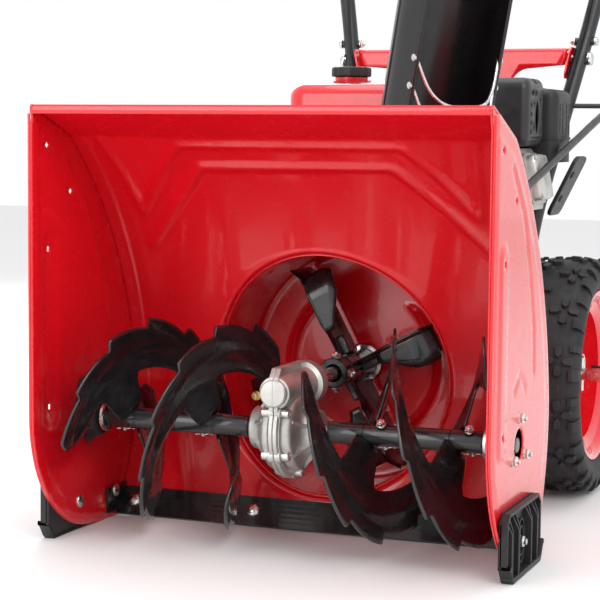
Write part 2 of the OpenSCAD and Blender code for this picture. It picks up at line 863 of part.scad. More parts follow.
module muffler_guard() {
    color("#141414") row_frame() difference() {
        block([58, 548, 524], [205, 648, 624]);
        block([61, 551, 520], [202, 645, 621]);
        // Slots, holes and a large oval in the side
        for (y = [575, 590]) block([195, y, 598], [215, y + 11, 606]);
        for (z = [540, 554, 568, 582]) rod_x(195, 215, 578, z, 5);
        block([195, 594, 552], [215, 614, 578]);
        rod_x(195, 215, 604, 552, 10);
        rod_x(195, 215, 604, 578, 10);
    }
}

module engine_shroud() {
    color("#1a1a1a") row_frame() {
        difference() {
            rod_y(692, 770, 0, crank_z, 110);
            rod_y(695, 775, 0, crank_z, 104);
            rod_y(690, 700, 0, crank_z, 14);
            block([-120, 690, 300], [120, 780, chassis_top + 1]);
        }
        // Cowl over the cylinder
        difference() {
            block([96, 652, 500], [223, 752, 612]);
            block([92, 655, 490], [220, 749, 609]);
        }
        // Lower side shield
        translate([199, 690, 420]) rotate([0, 26, 0]) cube([6, 70, 100]);
    }
}

module recoil_starter() {
    color("#181818") row_frame() difference() {
        union() {
            rod_y(770.2, 792, 0, crank_z, 106);
            rod_y(792, 800, 0, crank_z, 70);
            block([-30, 780, crank_z + 90], [10, 798, crank_z + 124]);
        }
        rod_y(769, 788, 0, crank_z, 98);
        for (a = [0:24:336])
            rod_y(785, 805, 50 * cos(a), crank_z + 50 * sin(a), 5);
    }
}

module recoil_handle() {
    color("#111111") row_frame() {
        block([-32, 799, crank_z + 98], [12, 813, crank_z + 114]);
    }
}

module fuel_tank() {
    color("red") row_frame() {
        difference() {
            hull() for (x = [-150, 16]) for (y = [570, tank_back]) for (z = [546, tank_top - 24])
                translate([x, y, z]) sphere(r = 24, $fn = 24);
            hull() for (x = [-150, 16]) for (y = [570, tank_back]) for (z = [546, tank_top - 24])
                translate([x, y, z]) sphere(r = 22, $fn = 12);
            translate([-100, 640, 580]) cylinder(h = 60, r = 20);
        }
        translate([-100, 640, tank_top - 2]) difference() {
            cylinder(h = 8, r = 25);
            translate([0, 0, -4]) cylinder(h = 20, r = 20);
        }
        // Feet down to the engine
        block([-80, 600, 500], [-60, 660, 524]);
        block([30, 600, 500], [50, 640, 540]);
    }
}

module fuel_cap() {
    color("#101010") row_frame() translate([-100, 640, tank_top + 6.4]) {
        difference() {
            cylinder(h = 15, r = 31);
            for (a = [0:30:330]) rotate([0, 0, a]) translate([33, 0, -1]) cylinder(h = 20, r = 4);
        }
        translate([0, 0, -8]) cylinder(h = 9, r = 19.6);
    }
}

module carburettor_cover() {
    color("#141414") row_frame() difference() {
        union() {
            block([-184, 566, 372], [-89, 688, 512]);
            block([-176, 574, 512], [-110, 640, 518]);
        }
        block([-181, 569, 375], [-86, 685, 509]);
        rod_x(-190, -170, 600, 476, 6 + run);
        rod_x(-190, -170, 650, 476, 9 + run);
        block([-190, 640, 428], [-170, 660, 434]);
        block([-144, 655, 505], [-136, 681, 520]);
    }
}

module choke_knob() {
    color("#1c1c1c") row_frame() {
        rod_x(-199, -184.4, 600, 476, 15);
        rod_x(-185, -172, 600, 476, 6);
        block([-203, 597, 463], [-199, 603, 489]);
    }
}

module primer_button() {
    color("#b02020") row_frame() {
        rod_x(-193, -176, 650, 476, 9);
    }
}

module ignition_key() {
    color("#c02020") row_frame() {
        block([-186, 641, 428.5], [-172, 659, 433.5]);
        block([-202, 638, 428.5], [-186, 662, 433.5]);
    }
}

module throttle_lever() {
    color("#1c1c1c") row_frame() {
        block([-142, 665, 486], [-138, 671, 508]);
        rod_x(-148, -132, 668, 490, 6);
        block([-147, 660, 496], [-133, 676, 507]);
    }
}

// ---------- chute ----------

module chute_frame() {
    translate([chute_x, chute_y, 0]) rotate([0, 0, chute_aim]) children();
}

// Open channel, lofted through a few leaning sections
module channel(w, front, t, z0, z1, n) {
    back = 14;
    ring = concat(
        [[w + t, -front]], arc([0, 0], w + t, 0, 180, back), [[-w - t, -front]],
        [[-w, -front]], arc([0, 0], w, 180, 0, back), [[w, -front]]);
    m = len(ring);
    pts = [for (i = [0:n]) let (z = z0 + (z1 - z0) * i / n) for (p = ring)
        [p[0], p[1] - (z - ring_z) * chute_lean, z]];
    sides = [for (i = [0:n - 1]) for (k = [0:m - 1])
        [i * m + k, (i + 1) * m + k, (i + 1) * m + (k + 1) % m, i * m + (k + 1) % m]];
    half = m / 2;
    caps = [for (k = [0:half - 2]) for (i = [0, n]) i == 0
        ? [k, k + 1, m - 2 - k, m - 1 - k]
        : [i * m + m - 1 - k, i * m + m - 2 - k, i * m + k + 1, i * m + k]];
    polyhedron(pts, concat(sides, caps));
}

module chute() {
    color("#0c0c0c") row_frame() chute_frame() {
        difference() {
            union() {
                translate([0, 0, ring_z]) cylinder(h = 6, r = ring_r);
                translate([0, 0, ring_z]) cylinder(h = 46, r = channel_r + channel_t);
            }
            translate([0, 0, ring_z - 1]) cylinder(h = 60, r = channel_r);
            for (a = [0:10:350]) rotate([0, 0, a]) translate([ring_r + 2, 0, ring_z - 1])
                cylinder(h = 10, r = 4.5);
        }
        difference() {
            channel(channel_r, channel_front, channel_t, ring_z + 6, chute_top, 5);
            translate([0, -pivot_u, pivot_z]) rotate([0, 90, 0])
                cylinder(h = 200, r = 4 + run, center = true);
        }
        // Wire guards across the lower opening
        color("silver") for (z = [640, 604]) {
            front = -channel_front - (z - ring_z) * chute_lean;
            sweep(smooth([[-channel_r - 1, front + 6, z], [-34, front - 8, z - 62],
                [34, front - 8, z - 62], [channel_r + 1, front + 6, z]], 3), 2.5, 8, [0, 1, 0]);
        }
    }
}

module deflector_side() {
    polygon([for (p = [[4, 778], [8, 800], [10, 830], [18, 862], [36, 900], [66, 934],
        [108, 956], [150, 964], [152, 950], [140, 900], [134, 850], [132, 800], [110, 782],
        [60, 776]]) [-p[0], p[1]]]);
}

module deflector() {
    w = channel_r + channel_t + 2;
    color("#0c0c0c") row_frame() chute_frame() {
        difference() {
            yz_plate(-w - 3, 2 * w + 6) deflector_side();
            yz_plate(-w, 2 * w) polygon([for (p = [[7, 760], [11.5, 800], [13.5, 830],
                [21.5, 861], [39, 898], [68, 931], [109, 952.5], [148, 960], [170, 960],
                [170, 760]]) [-p[0], p[1]]]);
        }
        for (s = [-1, 1]) translate([s > 0 ? channel_r - 6 : -w - 20, -pivot_u, pivot_z])
            rotate([0, 90, 0]) cylinder(h = w + 20 - channel_r + 6, r = 4);
        for (s = [-1, 1]) translate([s > 0 ? w + 3 : -w - 15, -pivot_u, pivot_z])
            rotate([0, 90, 0]) cylinder(h = 12, r = 17, $fn = 7);
    }
}

module chute_worm() {
    color("#8f8f8f") row_frame() {
        x = worm_shaft[0];
        z = worm_shaft[2];
        rod_y(312, 440, x, z, 6);
        rod_y(334, 382, x, z, 8.5);
        for (y = [336:8:376]) rod_y(y, y + 3, x, z, 11.5);
        rod_y(428, 444, x, z, 9);
    }
}

module crank_rod() {
    dir = (rod_top - worm_shaft) / norm(rod_top - worm_shaft);
    start = worm_shaft + dir * 4;
    knee = rod_top + [0, 8, 92];
    color("#1e1e1e") row_frame() {
        translate(worm_shaft) sphere(r = 7);
        bar(start, start + dir * 26, 9);
        sweep(concat([start + dir * 10], bend(start, rod_top, knee, 20),
            bend(rod_top, knee, knee + dir * 40, 18), [knee + dir * 40]), 6, 12, [1, 0, 0]);
        bar(knee + dir * 24, knee + dir * 110, 14);
    }
}

// ---------- handlebars and controls ----------

module lower_handlebars() {
    color("#141414") row_frame() {
        both_sides() difference() {
            bar_tube(lower_bar);
            for (p = [[750, 232], [780, 290]]) rod_x(120, 170, p[0], p[1], 4);
        }
        // Eye that the crank rod turns in
        along = (rod_top - worm_shaft) / norm(rod_top - worm_shaft);
        eye = worm_shaft + along * 473;
        difference() {
            union() {
                bar(eye - along * 6, eye + along * 6, 11);
                bar([192.5, 894, eye[2]], eye, 4);
            }
            bar(eye - along * 20, eye + along * 20, 6 + run);
        }
    }
}

module upper_handlebars() {
    color("#141414") row_frame() {
        both_sides() {
            bar_tube(upper_bar);
            // Lever brackets
            difference() {
                block(lever_pivot - [13, 12, 24], lever_pivot + [13, 12, 9]);
                block(lever_pivot - [5, 20, 12], lever_pivot + [5, 20, 20]);
                rod_x(200, 300, lever_pivot[1], lever_pivot[2], 3);
            }
        }
    }
}

module grips() {
    color("#101010") row_frame() both_sides()
        translate(bar_level) rotate([0, acos(grip_dir[2]), atan2(grip_dir[1], grip_dir[0])])
            rotate_extrude() polygon(concat([[bar_r, 54], [grip_r, 54]],
                arc([0, grip_run], grip_r, 0, 90, 8), [[0, grip_run], [bar_r, grip_run]]));
}

module cross_bracket() {
    color("red") row_frame() {
        difference() {
            xz_plate(900, 3) polygon([[-176, 655], [-180, 682], [180, 682], [176, 655], [104, 650],
                [86, 622], [86, 560], [-86, 560], [-86, 622], [-104, 650]]);
            for (x = [-60, 60]) rod_y(890, 910, x, 580, 5);
        }
        block([-184, 900, 680], [184, 926, 682]);
        both_sides() {
            // Cheek that lies along the leaning handlebar
            translate([187.2, 890, 682]) rotate([0, 11.56, 0]) translate([-3, 0, -50])
                cube([3, 48, 52]);
            rod_x(178, 183.8, 916, 668, 5);
        }
    }
}

panel_y = 1000;
panel_z = 916;
panel_tilt = 35.9;
speed_pivot = [0, 1090, 900];

module control_panel() {
    color("#121212") row_frame() {
        speed_bracket();
        translate([0, panel_y, panel_z]) rotate([panel_tilt, 0, 0]) difference() {
            union() {
                block([-222, 0, 0], [222, 150, 22]);
                both_sides() block([220, 20, 7], [246, 50, 15]);
            }
            block([-219, 3, -1], [219, 147, 19]);
            block([-8, 24, -10], [8, 102, 40]);
        }
    }
}

module speed_lever() {
    color("#141414") row_frame() translate(speed_pivot) rotate([panel_tilt, 0, 0]) {
        rod_x(-14, 14, 0, 0, 5);
        translate([0, 0, 0]) cylinder(h = 138, r = 4);
        translate([0, 0, 138]) sphere(r = 14);
    }
}

module speed_bracket() {
    translate(speed_pivot) rotate([panel_tilt, 0, 0]) both_sides()
        difference() {
            block([8, -12, -8], [12, 12, 70]);
            rod_x(0, 20, 0, 0, 5 + run);
        }
}

module squeeze_lever(raised) {
    translate(lever_pivot) {
        rod_x(-14.5, 14.5, 0, 0, 2.9);
        rotate([raised, 0, 0]) {
            rod_x(-4, 4, 0, 0, 8);
            block([-4, 0, -3], [4, 168, 5]);
            block([-4, -14, -9], [4, 6, 4]);
            translate([-9, 60, -1.5]) cube([18, 108, 5]);
        }
    }
}

module drive_lever() {
    color("#181818") row_frame() squeeze_lever(4);
}

module auger_lever() {
    color("#181818") row_frame() mirror([1, 0, 0]) squeeze_lever(4);
}

// Clutch cables run beside the handlebars, clear of their tubes
clutch_cable = [bar_level + [-17, -30, 8], bar_turn + [-16, 0, -2], bar_knee + [-15, -9, 9],
    bar_joint + [-4, -17, 0], bar_bend + [-6, -18, 4], [118, 796, 345], [112, 780, 335],
    [110, 700, 334.2], [110, 600, 334.2], [108, 534, 337]];
selector_cable = [[20, 1094, 888], [34, 1010, 800], [42, 926, 735], [42, 888, 690],
    [42, 880, 640], [42, 868, 540], [36, 848, 450], [20, 822, 350], [0, 800, 304],
    [0, 794.5, 282]];
spark_lead = [[72, 685, 512], [112, 684, 500], [150, 682, 484], [184, 674, 474],
    [188, 660, 474], [188, 652.5, 474]];

module cables() {
    color("#0e0e0e") row_frame() {
        sweep(smooth(clutch_cable, 3), 3, 8, [1, 0, 0]);
        sweep(smooth([for (p = clutch_cable) mirror_x(p)], 3), 3, 8, [1, 0, 0]);
        sweep(smooth(selector_cable, 3), 3.5, 8, [1, 0, 0]);
        sweep(smooth(spark_lead, 4), 3.5, 8, [0, 0.1, 1]);
    }
}

side_plate_left();
side_plate_right();
bucket_shell();
impeller_drum();
scraper_bar();
bolts();
bearings();
gearbox_case_left();
gearbox_case_right();
belt_cover();
chassis_box();
crankcase();
cylinder_head();
muffler();
muffler_guard();
engine_shroud();
recoil_starter();
fuel_tank();
carburettor_cover();
cables();
lower_handlebars();
upper_handlebars();
grips();
cross_bracket();
control_panel();
belts();
skid_shoe_left();
skid_shoe_right();
auger_shaft();
auger_left();
auger_right();
shear_pins();
worm_wheel();
impeller_shaft();
impeller();
impeller_pulley();
engine_pulleys();
auger_idler_arm();
auger_idler_pulley();
drive_idler_arm();
drive_idler_pulley();
drive_disc();
friction_wheel();
hex_shaft();
axle();
wheel_rims();
tyres();
chute();
deflector();
chute_worm();
crank_rod();
recoil_handle();
fuel_cap();
choke_knob();
throttle_lever();
ignition_key();
primer_button();
drive_lever();
auger_lever();
speed_lever();
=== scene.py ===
import math

import bmesh
import bpy
from mathutils import Matrix, Vector
from mathutils.geometry import delaunay_2d_cdt

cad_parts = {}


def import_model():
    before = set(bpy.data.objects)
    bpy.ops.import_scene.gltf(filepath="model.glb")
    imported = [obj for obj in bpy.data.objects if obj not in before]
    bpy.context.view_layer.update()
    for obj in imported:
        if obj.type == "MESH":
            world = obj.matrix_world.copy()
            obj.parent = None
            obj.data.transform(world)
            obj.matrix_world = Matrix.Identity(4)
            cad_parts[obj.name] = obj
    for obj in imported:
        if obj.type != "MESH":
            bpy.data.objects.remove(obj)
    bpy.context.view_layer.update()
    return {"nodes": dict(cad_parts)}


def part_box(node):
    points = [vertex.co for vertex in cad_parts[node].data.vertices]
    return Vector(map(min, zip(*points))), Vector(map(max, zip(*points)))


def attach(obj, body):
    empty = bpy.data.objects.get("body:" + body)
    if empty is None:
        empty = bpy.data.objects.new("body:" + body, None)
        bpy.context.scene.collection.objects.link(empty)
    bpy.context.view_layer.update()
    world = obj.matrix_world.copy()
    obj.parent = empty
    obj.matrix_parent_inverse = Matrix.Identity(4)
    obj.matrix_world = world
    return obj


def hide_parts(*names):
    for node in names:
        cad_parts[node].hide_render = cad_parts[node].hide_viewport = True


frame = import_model()
nodes = frame["nodes"]

# ---------------------------------------------------------------- sizes
# All lengths are millimetres, with y counted back from the housing's front edge, until place() turns
# them into metres in the machine's frame.
MM = 0.001
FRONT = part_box("bucket_shell")[0].y
HALF_W = round(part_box("auger_shaft")[1].x / MM) + 1
HOUSING_H = 575
SHEET = 2.0
UPPER_C, UPPER_R, UPPER_FROM = (-200.4, 136.0), 503.6, 52.6
LOWER_C, LOWER_R, LOWER_TO = (22.1, 175.5), 278.6, -38.5
JOIN_Z = 195.0
TOP_BEND = (105.0, 536.0)
TOE_C, TOE_R = (170.0, 172.0), 170.0
LIP_H = 13.0
AUGER_Y, AUGER_Z, AUGER_R = 140.0, 157.0, 138.0
IMP_Z, DRUM_R, DRUM_BACK = 211.0, 168.0, 430.0
AXLE_Y, WHEEL_R, TYRE_OUT, TYRE_W = 673.0, 180.0, 297.0, 106.0
CHUTE_X, CHUTE_Y, CHUTE_AIM, CHUTE_LEAN = 100.0, 358.0, math.radians(55), 0.25
RING_Z, CHUTE_TOP = 450.0, 850.0
CRANK_Z = 436.0


def place(x, y, z):
    """A point in the working millimetres, as metres in the machine's frame."""
    return Vector((x * MM, y * MM + FRONT, z * MM))


# ---------------------------------------------------------------- materials
def new_material(name, color, rough, metallic=0.0, coat=0.0, coat_rough=0.05, specular=0.5):
    m = bpy.data.materials.new(name)
    m.use_nodes = True
    b = m.node_tree.nodes["Principled BSDF"]
    b.inputs["Base Color"].default_value = (*color, 1)
    b.inputs["Roughness"].default_value = rough
    b.inputs["Metallic"].default_value = metallic
    b.inputs["Coat Weight"].default_value = coat
    b.inputs["Coat Roughness"].default_value = coat_rough
    b.inputs["Specular IOR Level"].default_value = specular
    return m


def coords(m):
    n = m.node_tree.nodes.new("ShaderNodeTexCoord")
    return n.outputs["Object"]


def noise_node(m, scale, detail=4.0, stretch=None):
    nt = m.node_tree
    n = nt.nodes.new("ShaderNodeTexNoise")
    n.inputs["Scale"].default_value = scale
    n.inputs["Detail"].default_value = detail
    source = coords(m)
    if stretch:
        mapping = nt.nodes.new("ShaderNodeMapping")
        mapping.inputs["Scale"].default_value = stretch
        nt.links.new(source, mapping.inputs["Vector"])
        source = mapping.outputs["Vector"]
    nt.links.new(source, n.inputs["Vector"])
    return n.outputs["Fac"]


def ramp(m, fac, stops):
    n = m.node_tree.nodes.new("ShaderNodeValToRGB")
    for i, (pos, value) in enumerate(stops):
        e = n.color_ramp.elements[i] if i < 2 else n.color_ramp.elements.new(pos)
        e.position = pos
        e.color = value if len(value) == 4 else (*value, 1)
    m.node_tree.links.new(fac, n.inputs["Fac"])
    return n.outputs["Color"]


def grey(v):
    return (v, v, v, 1)


def set_color(m, socket):
    m.node_tree.links.new(socket, m.node_tree.nodes["Principled BSDF"].inputs["Base Color"])


def set_rough(m, socket):
    m.node_tree.links.new(socket, m.node_tree.nodes["Principled BSDF"].inputs["Roughness"])


def add_bump(m, fac, strength, distance):
    n = m.node_tree.nodes.new("ShaderNodeBump")
    n.inputs["Strength"].default_value = strength
    n.inputs["Distance"].default_value = distance
    m.node_tree.links.new(fac, n.inputs["Height"])
    m.node_tree.links.new(n.outputs["Normal"], m.node_tree.nodes["Principled BSDF"].inputs["Normal"])


def varied(m, color, amount, scale, detail=5.0):
    """Slow colour variation round the base colour."""
    low = tuple(c * (1 - amount) for c in color)
    high = tuple(min(1, c * (1 + amount)) for c in color)
    set_color(m, ramp(m, noise_node(m, scale, detail), [(0.35, low), (0.65, high)]))


def red_paint():
    color = (0.72, 0.004, 0.012)
    m = new_material("red_gloss_paint", color, 0.24, coat=0.7, coat_rough=0.04)
    varied(m, color, 0.025, 5)
    set_rough(m, ramp(m, noise_node(m, 60, 3), [(0.3, grey(0.21)), (0.7, grey(0.29))]))
    add_bump(m, noise_node(m, 900, 2), 0.03, 0.0002)
    return m


def black_paint():
    color = (0.010, 0.010, 0.011)
    m = new_material("black_gloss_paint", color, 0.24, coat=0.5, coat_rough=0.08)
    varied(m, color, 0.3, 14)
    set_rough(m, ramp(m, noise_node(m, 45, 4), [(0.3, grey(0.18)), (0.72, grey(0.36))]))
    add_bump(m, noise_node(m, 300, 3), 0.08, 0.0006)
    return m


def black_satin():
    color = (0.016, 0.016, 0.018)
    m = new_material("black_satin_paint", color, 0.42, coat=0.15, coat_rough=0.2)
    varied(m, color, 0.2, 10)
    set_rough(m, ramp(m, noise_node(m, 80, 4), [(0.3, grey(0.36)), (0.7, grey(0.5))]))
    add_bump(m, noise_node(m, 900, 2), 0.10, 0.0004)
    return m


def black_plastic():
    color = (0.013, 0.013, 0.014)
    m = new_material("black_moulded_plastic", color, 0.48, specular=0.45)
    varied(m, color, 0.18, 12)
    set_rough(m, ramp(m, noise_node(m, 160, 3), [(0.3, grey(0.42)), (0.7, grey(0.56))]))
    add_bump(m, noise_node(m, 1500, 2), 0.16, 0.0003)
    return m


def glossy_plastic():
    color = (0.006, 0.006, 0.007)
    m = new_material("black_chute_plastic", color, 0.26, specular=0.5)
    varied(m, color, 0.2, 8)
    set_rough(m, ramp(m, noise_node(m, 30, 3), [(0.3, grey(0.22)), (0.7, grey(0.34))]))
    add_bump(m, noise_node(m, 700, 2), 0.06, 0.0004)
    return m


def cast_aluminium():
    color = (0.60, 0.59, 0.56)
    m = new_material("cast_aluminium", color, 0.42, metallic=0.75)
    set_color(m, ramp(m, noise_node(m, 30, 8), [(0.3, (0.42, 0.41, 0.385)), (0.7, (0.66, 0.65, 0.62))]))
    set_rough(m, ramp(m, noise_node(m, 90, 5), [(0.3, grey(0.34)), (0.7, grey(0.55))]))
    add_bump(m, noise_node(m, 520, 4), 0.35, 0.0005)
    return m


def zinc():
    color = (0.72, 0.72, 0.70)
    m = new_material("zinc_plated_steel", color, 0.25, metallic=1.0)
    set_color(m, ramp(m, noise_node(m, 120, 4), [(0.3, (0.58, 0.59, 0.58)), (0.7, (0.80, 0.79, 0.75))]))
    set_rough(m, ramp(m, noise_node(m, 200, 3), [(0.3, grey(0.18)), (0.7, grey(0.34))]))
    add_bump(m, noise_node(m, 1500, 2), 0.08, 0.0003)
    return m


def brass():
    m = new_material("brass", (0.72, 0.50, 0.20), 0.28, metallic=1.0)
    set_color(m, ramp(m, noise_node(m, 100, 4), [(0.3, (0.60, 0.40, 0.14)), (0.7, (0.80, 0.58, 0.26))]))
    add_bump(m, noise_node(m, 900, 2), 0.08, 0.0003)
    return m


def dark_steel():
    m = new_material("dark_turned_steel", (0.22, 0.22, 0.22), 0.38, metallic=0.9)
    set_color(m, ramp(m, noise_node(m, 60, 5), [(0.3, (0.13, 0.13, 0.13)), (0.7, (0.28, 0.275, 0.27))]))
    set_rough(m, ramp(m, noise_node(m, 150, 3), [(0.3, grey(0.3)), (0.7, grey(0.5))]))
    add_bump(m, noise_node(m, 600, 3, (1, 12, 1)), 0.1, 0.0004)
    return m


def rubber(name, color, rough):
    m = new_material(name, color, rough, specular=0.3)
    varied(m, color, 0.25, 25)
    set_rough(m, ramp(m, noise_node(m, 90, 4), [(0.3, grey(rough - 0.08)), (0.7, grey(rough + 0.1))]))
    add_bump(m, noise_node(m, 700, 3), 0.2, 0.0004)
    return m


def simple(name, color, rough, **more):
    m = new_material(name, color, rough, **more)
    varied(m, color, 0.12, 30)
    add_bump(m, noise_node(m, 900, 2), 0.08, 0.0003)
    return m


RED = red_paint()
BLACK = black_paint()
SATIN = black_satin()
PLASTIC = black_plastic()
CHUTE = glossy_plastic()
ALU = cast_aluminium()
ZINC = zinc()
BRASS = brass()
STEEL = dark_steel()
RUBBER = rubber("soft_black_rubber", (0.018, 0.018, 0.018), 0.7)
TYRE = rubber("tyre_rubber", (0.026, 0.026, 0.027), 0.62)
RED_PLASTIC = simple("red_plastic", (0.62, 0.02, 0.02), 0.35)
HEAT_STEEL = simple("heat_stained_steel", (0.30, 0.27, 0.24), 0.45, metallic=0.8)


# ---------------------------------------------------------------- mesh helpers
def piece(name, verts, faces, mat, body, stands_for=(), smooth=True, sharp=35, bevel=0.0,
          solid=0.0, subdiv=0, recalc=True):
    """Makes a mesh piece from working millimetres and lets it ride on a body.

    solid is a sheet's thickness, laid on behind its faces, or in front where it is negative.
    """
    me = bpy.data.meshes.new(name)
    me.from_pydata([tuple(place(*v)) for v in verts], [], faces)
    if recalc:
        bm = bmesh.new()
        bm.from_mesh(me)
        bmesh.ops.recalc_face_normals(bm, faces=bm.faces)
        bm.to_mesh(me)
        bm.free()
    o = bpy.data.objects.new(name, me)
    bpy.context.scene.collection.objects.link(o)
    me.materials.append(mat)
    if solid:
        s = o.modifiers.new("sheet", "SOLIDIFY")
        s.thickness = abs(solid) * MM
        s.offset = -1 if solid > 0 else 1
    if bevel:
        b = o.modifiers.new("edge", "BEVEL")
        b.width = bevel * MM
        b.segments = 2
        b.limit_method = "ANGLE"
        b.angle_limit = math.radians(35)
        b.harden_normals = False
    if subdiv:
        s = o.modifiers.new("round", "SUBSURF")
        s.levels = subdiv
        s.render_levels = subdiv
    if smooth:
        me.shade_smooth()
        me.set_sharp_from_angle(angle=math.radians(sharp))
    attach(o, body)
    if stands_for:
        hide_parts(*stands_for)
    return o


class Build:
    """Collects the solids of one piece in working millimetres."""

    def __init__(self):
        self.v = []
        self.f = []

    def add(self, verts, faces):
        n = len(self.v)
        self.v += [Vector(p) for p in verts]
        self.f += [tuple(i + n for i in f) for f in faces]
        return self

    def grid(self, rows, closed=False, wrap=False):
        """Skin over rows of points; closed joins each row's ends, wrap joins the last row to the first."""
        m, n = len(rows[0]), len(rows)
        faces = []
        for i in range(n if wrap else n - 1):
            for k in range(m if closed else m - 1):
                a, b = i * m + k, i * m + (k + 1) % m
                c, d = ((i + 1) % n) * m + (k + 1) % m, ((i + 1) % n) * m + k
                faces.append((a, b, c, d))
        return self.add([p for r in rows for p in r], faces)

    def loft(self, rings):
        m, n = len(rings[0]), len(rings)
        self.grid(rings, closed=True)
        base = len(self.v) - m * n
        self.f.append(tuple(base + k for k in range(m)))
        self.f.append(tuple(base + (n - 1) * m + k for k in range(m - 1, -1, -1)))
        return self

    def box(self, a, b):
        x0, y0, z0 = a
        x1, y1, z1 = b
        return self.loft([[(x0, y0, z), (x1, y0, z), (x1, y1, z), (x0, y1, z)] for z in (z0, z1)])

    def turned(self, origin, axis, profile, n=48, closed_profile=False):
        """Revolves (distance along axis, radius) points round an axis."""
        o, a = Vector(origin), Vector(axis).normalized()
        u = a.orthogonal().normalized()
        w = a.cross(u)
        prof = list(profile)
        rows = []
        for t, r in prof:
            rows.append([o + a * t + (u * math.cos(2 * math.pi * k / n)
                        + w * math.sin(2 * math.pi * k / n)) * max(r, 0.01) for k in range(n)])
        if closed_profile:
            return self.grid(rows, closed=True, wrap=True)
        return self.loft(rows)

    def tube(self, points, r, n=12, caps=True):
        """Round bar along points; r is one radius or a list."""
        rings = sweep_rings(points, r, n)
        return self.loft(rings) if caps else self.grid(rings, closed=True)

    def moved(self, matrix):
        self.v = [matrix @ p for p in self.v]
        return self

    def mirrored(self):
        """Adds the mirror image across the middle plane."""
        n = len(self.v)
        self.v += [Vector((-p.x, p.y, p.z)) for p in self.v]
        self.f += [tuple(reversed([i + n for i in f])) for f in self.f]
        return self

    def make(self, name, mat, body, stands_for=(), **more):
        return piece(name, self.v, self.f, mat, body, stands_for, **more)


def sweep_rings(points, r, n):
    pts = [Vector(p) for p in points]
    t0 = (pts[1] - pts[0]).normalized()
    u = t0.orthogonal().normalized()
    rings = []
    for i, p in enumerate(pts):
        t = (pts[min(i + 1, len(pts) - 1)] - pts[max(i - 1, 0)]).normalized()
        u = (u - t * u.dot(t)).normalized()
        w = t.cross(u)
        rr = r[i] if isinstance(r, (list, tuple)) else r
        rings.append([p + (u * math.cos(2 * math.pi * k / n) + w * math.sin(2 * math.pi * k / n)) * rr
                      for k in range(n)])
    return rings


def smooth_path(points, per=8):
    """Catmull-Rom curve through chosen points."""
    p = [Vector(q) for q in points]
    out = []
    for i in range(len(p) - 1):
        p0, p1, p2, p3 = p[max(i - 1, 0)], p[i], p[i + 1], p[min(i + 2, len(p) - 1)]
        for k in range(per):
            t = k / per
            out.append(0.5 * (2 * p1 + (p2 - p0) * t + (2 * p0 - 5 * p1 + 4 * p2 - p3) * t * t
                              + (3 * p1 - p0 - 3 * p2 + p3) * t ** 3))
    out.append(p[-1])
    return out


def use(names, mat, bevel=0.0):
    """Gives CAD nodes that stay visible their finish and small edge rounding."""
    for n in names:
        o = nodes[n]
        o.data.materials.clear()
        o.data.materials.append(mat)
        for p in o.data.polygons:
            p.material_index = 0
        if bevel:
            b = o.modifiers.new("edge", "BEVEL")
            b.width = bevel * MM
            b.segments = 2
            b.limit_method = "ANGLE"
            b.angle_limit = math.radians(40)


# ---------------------------------------------------------------- default finishes of the CAD nodes
use(["bucket_shell", "side_plate_left", "side_plate_right", "impeller_drum", "cross_bracket",
     "fuel_tank", "wheel_rims"], RED)
use(["scraper_bar", "auger_left", "auger_right", "impeller"], BLACK)
use(["auger_shaft", "chassis_box", "lower_handlebars", "upper_handlebars", "muffler_guard",
     "crank_rod", "auger_idler_arm", "drive_idler_arm"], SATIN)
use(["bolts", "shear_pins", "axle", "impeller_shaft", "hex_shaft", "chute_worm"], ZINC)
use(["bearings", "belt_cover", "engine_shroud", "recoil_starter", "carburettor_cover",
     "control_panel", "recoil_handle", "fuel_cap", "choke_knob", "throttle_lever", "drive_lever",
     "auger_lever", "speed_lever", "auger_idler_pulley", "drive_idler_pulley", "skid_shoe_left",
     "skid_shoe_right"], PLASTIC)
use(["chute", "deflector"], CHUTE)
use(["gearbox_case_left", "gearbox_case_right", "crankcase", "cylinder_head", "drive_disc"], ALU)
use(["worm_wheel"], BRASS)
use(["impeller_pulley", "engine_pulleys"], STEEL)
use(["muffler"], HEAT_STEEL)
use(["grips", "belts", "cables", "friction_wheel"], RUBBER)
use(["tyres"], TYRE)
use(["primer_button", "ignition_key"], RED_PLASTIC)

# ---------------------------------------------------------------- auger housing
def soft_step(t):
    t = max(0.0, min(1.0, t))
    return t * t * (3 - 2 * t)


def line2(a, b, step):
    n = max(1, round(math.dist(a, b) / step))
    return [(a[0] + (b[0] - a[0]) * i / n, a[1] + (b[1] - a[1]) * i / n) for i in range(n + 1)]


def arc2(c, r, a0, a1, step):
    n = max(2, round(math.radians(abs(a1 - a0)) * r / step))
    angles = [math.radians(a0 + (a1 - a0) * i / n) for i in range(n + 1)]
    return [(c[0] + r * math.cos(a), c[1] + r * math.sin(a)) for a in angles]


def joined(*parts):
    """Chains point lists and drops points that repeat."""
    out = []
    for p in (q for part in parts for q in part):
        if not out or math.dist(out[-1], p) > 0.5:
            out.append(p)
    return out


INNER_JOIN = math.degrees(math.asin((JOIN_Z - UPPER_C[1]) / (UPPER_R - SHEET)))
LOWER_JOIN = math.degrees(math.asin((JOIN_Z - LOWER_C[1]) / (LOWER_R - SHEET)))
LIP_PATH = [(SHEET, HOUSING_H - LIP_H), (SHEET, 567), (SHEET, 570), (2.8, 571.6), (5, 571.1)]
BACK_PATH = joined(
    LIP_PATH, line2((8, 570), (101, 535.5), 5), arc2(UPPER_C, UPPER_R - SHEET, UPPER_FROM, INNER_JOIN, 5),
    arc2(LOWER_C, LOWER_R - SHEET, LOWER_JOIN, LOWER_TO, 5))
BACK_S = [0.0]
for near, far in zip(BACK_PATH, BACK_PATH[1:]):
    BACK_S.append(BACK_S[-1] + math.dist(near, far))


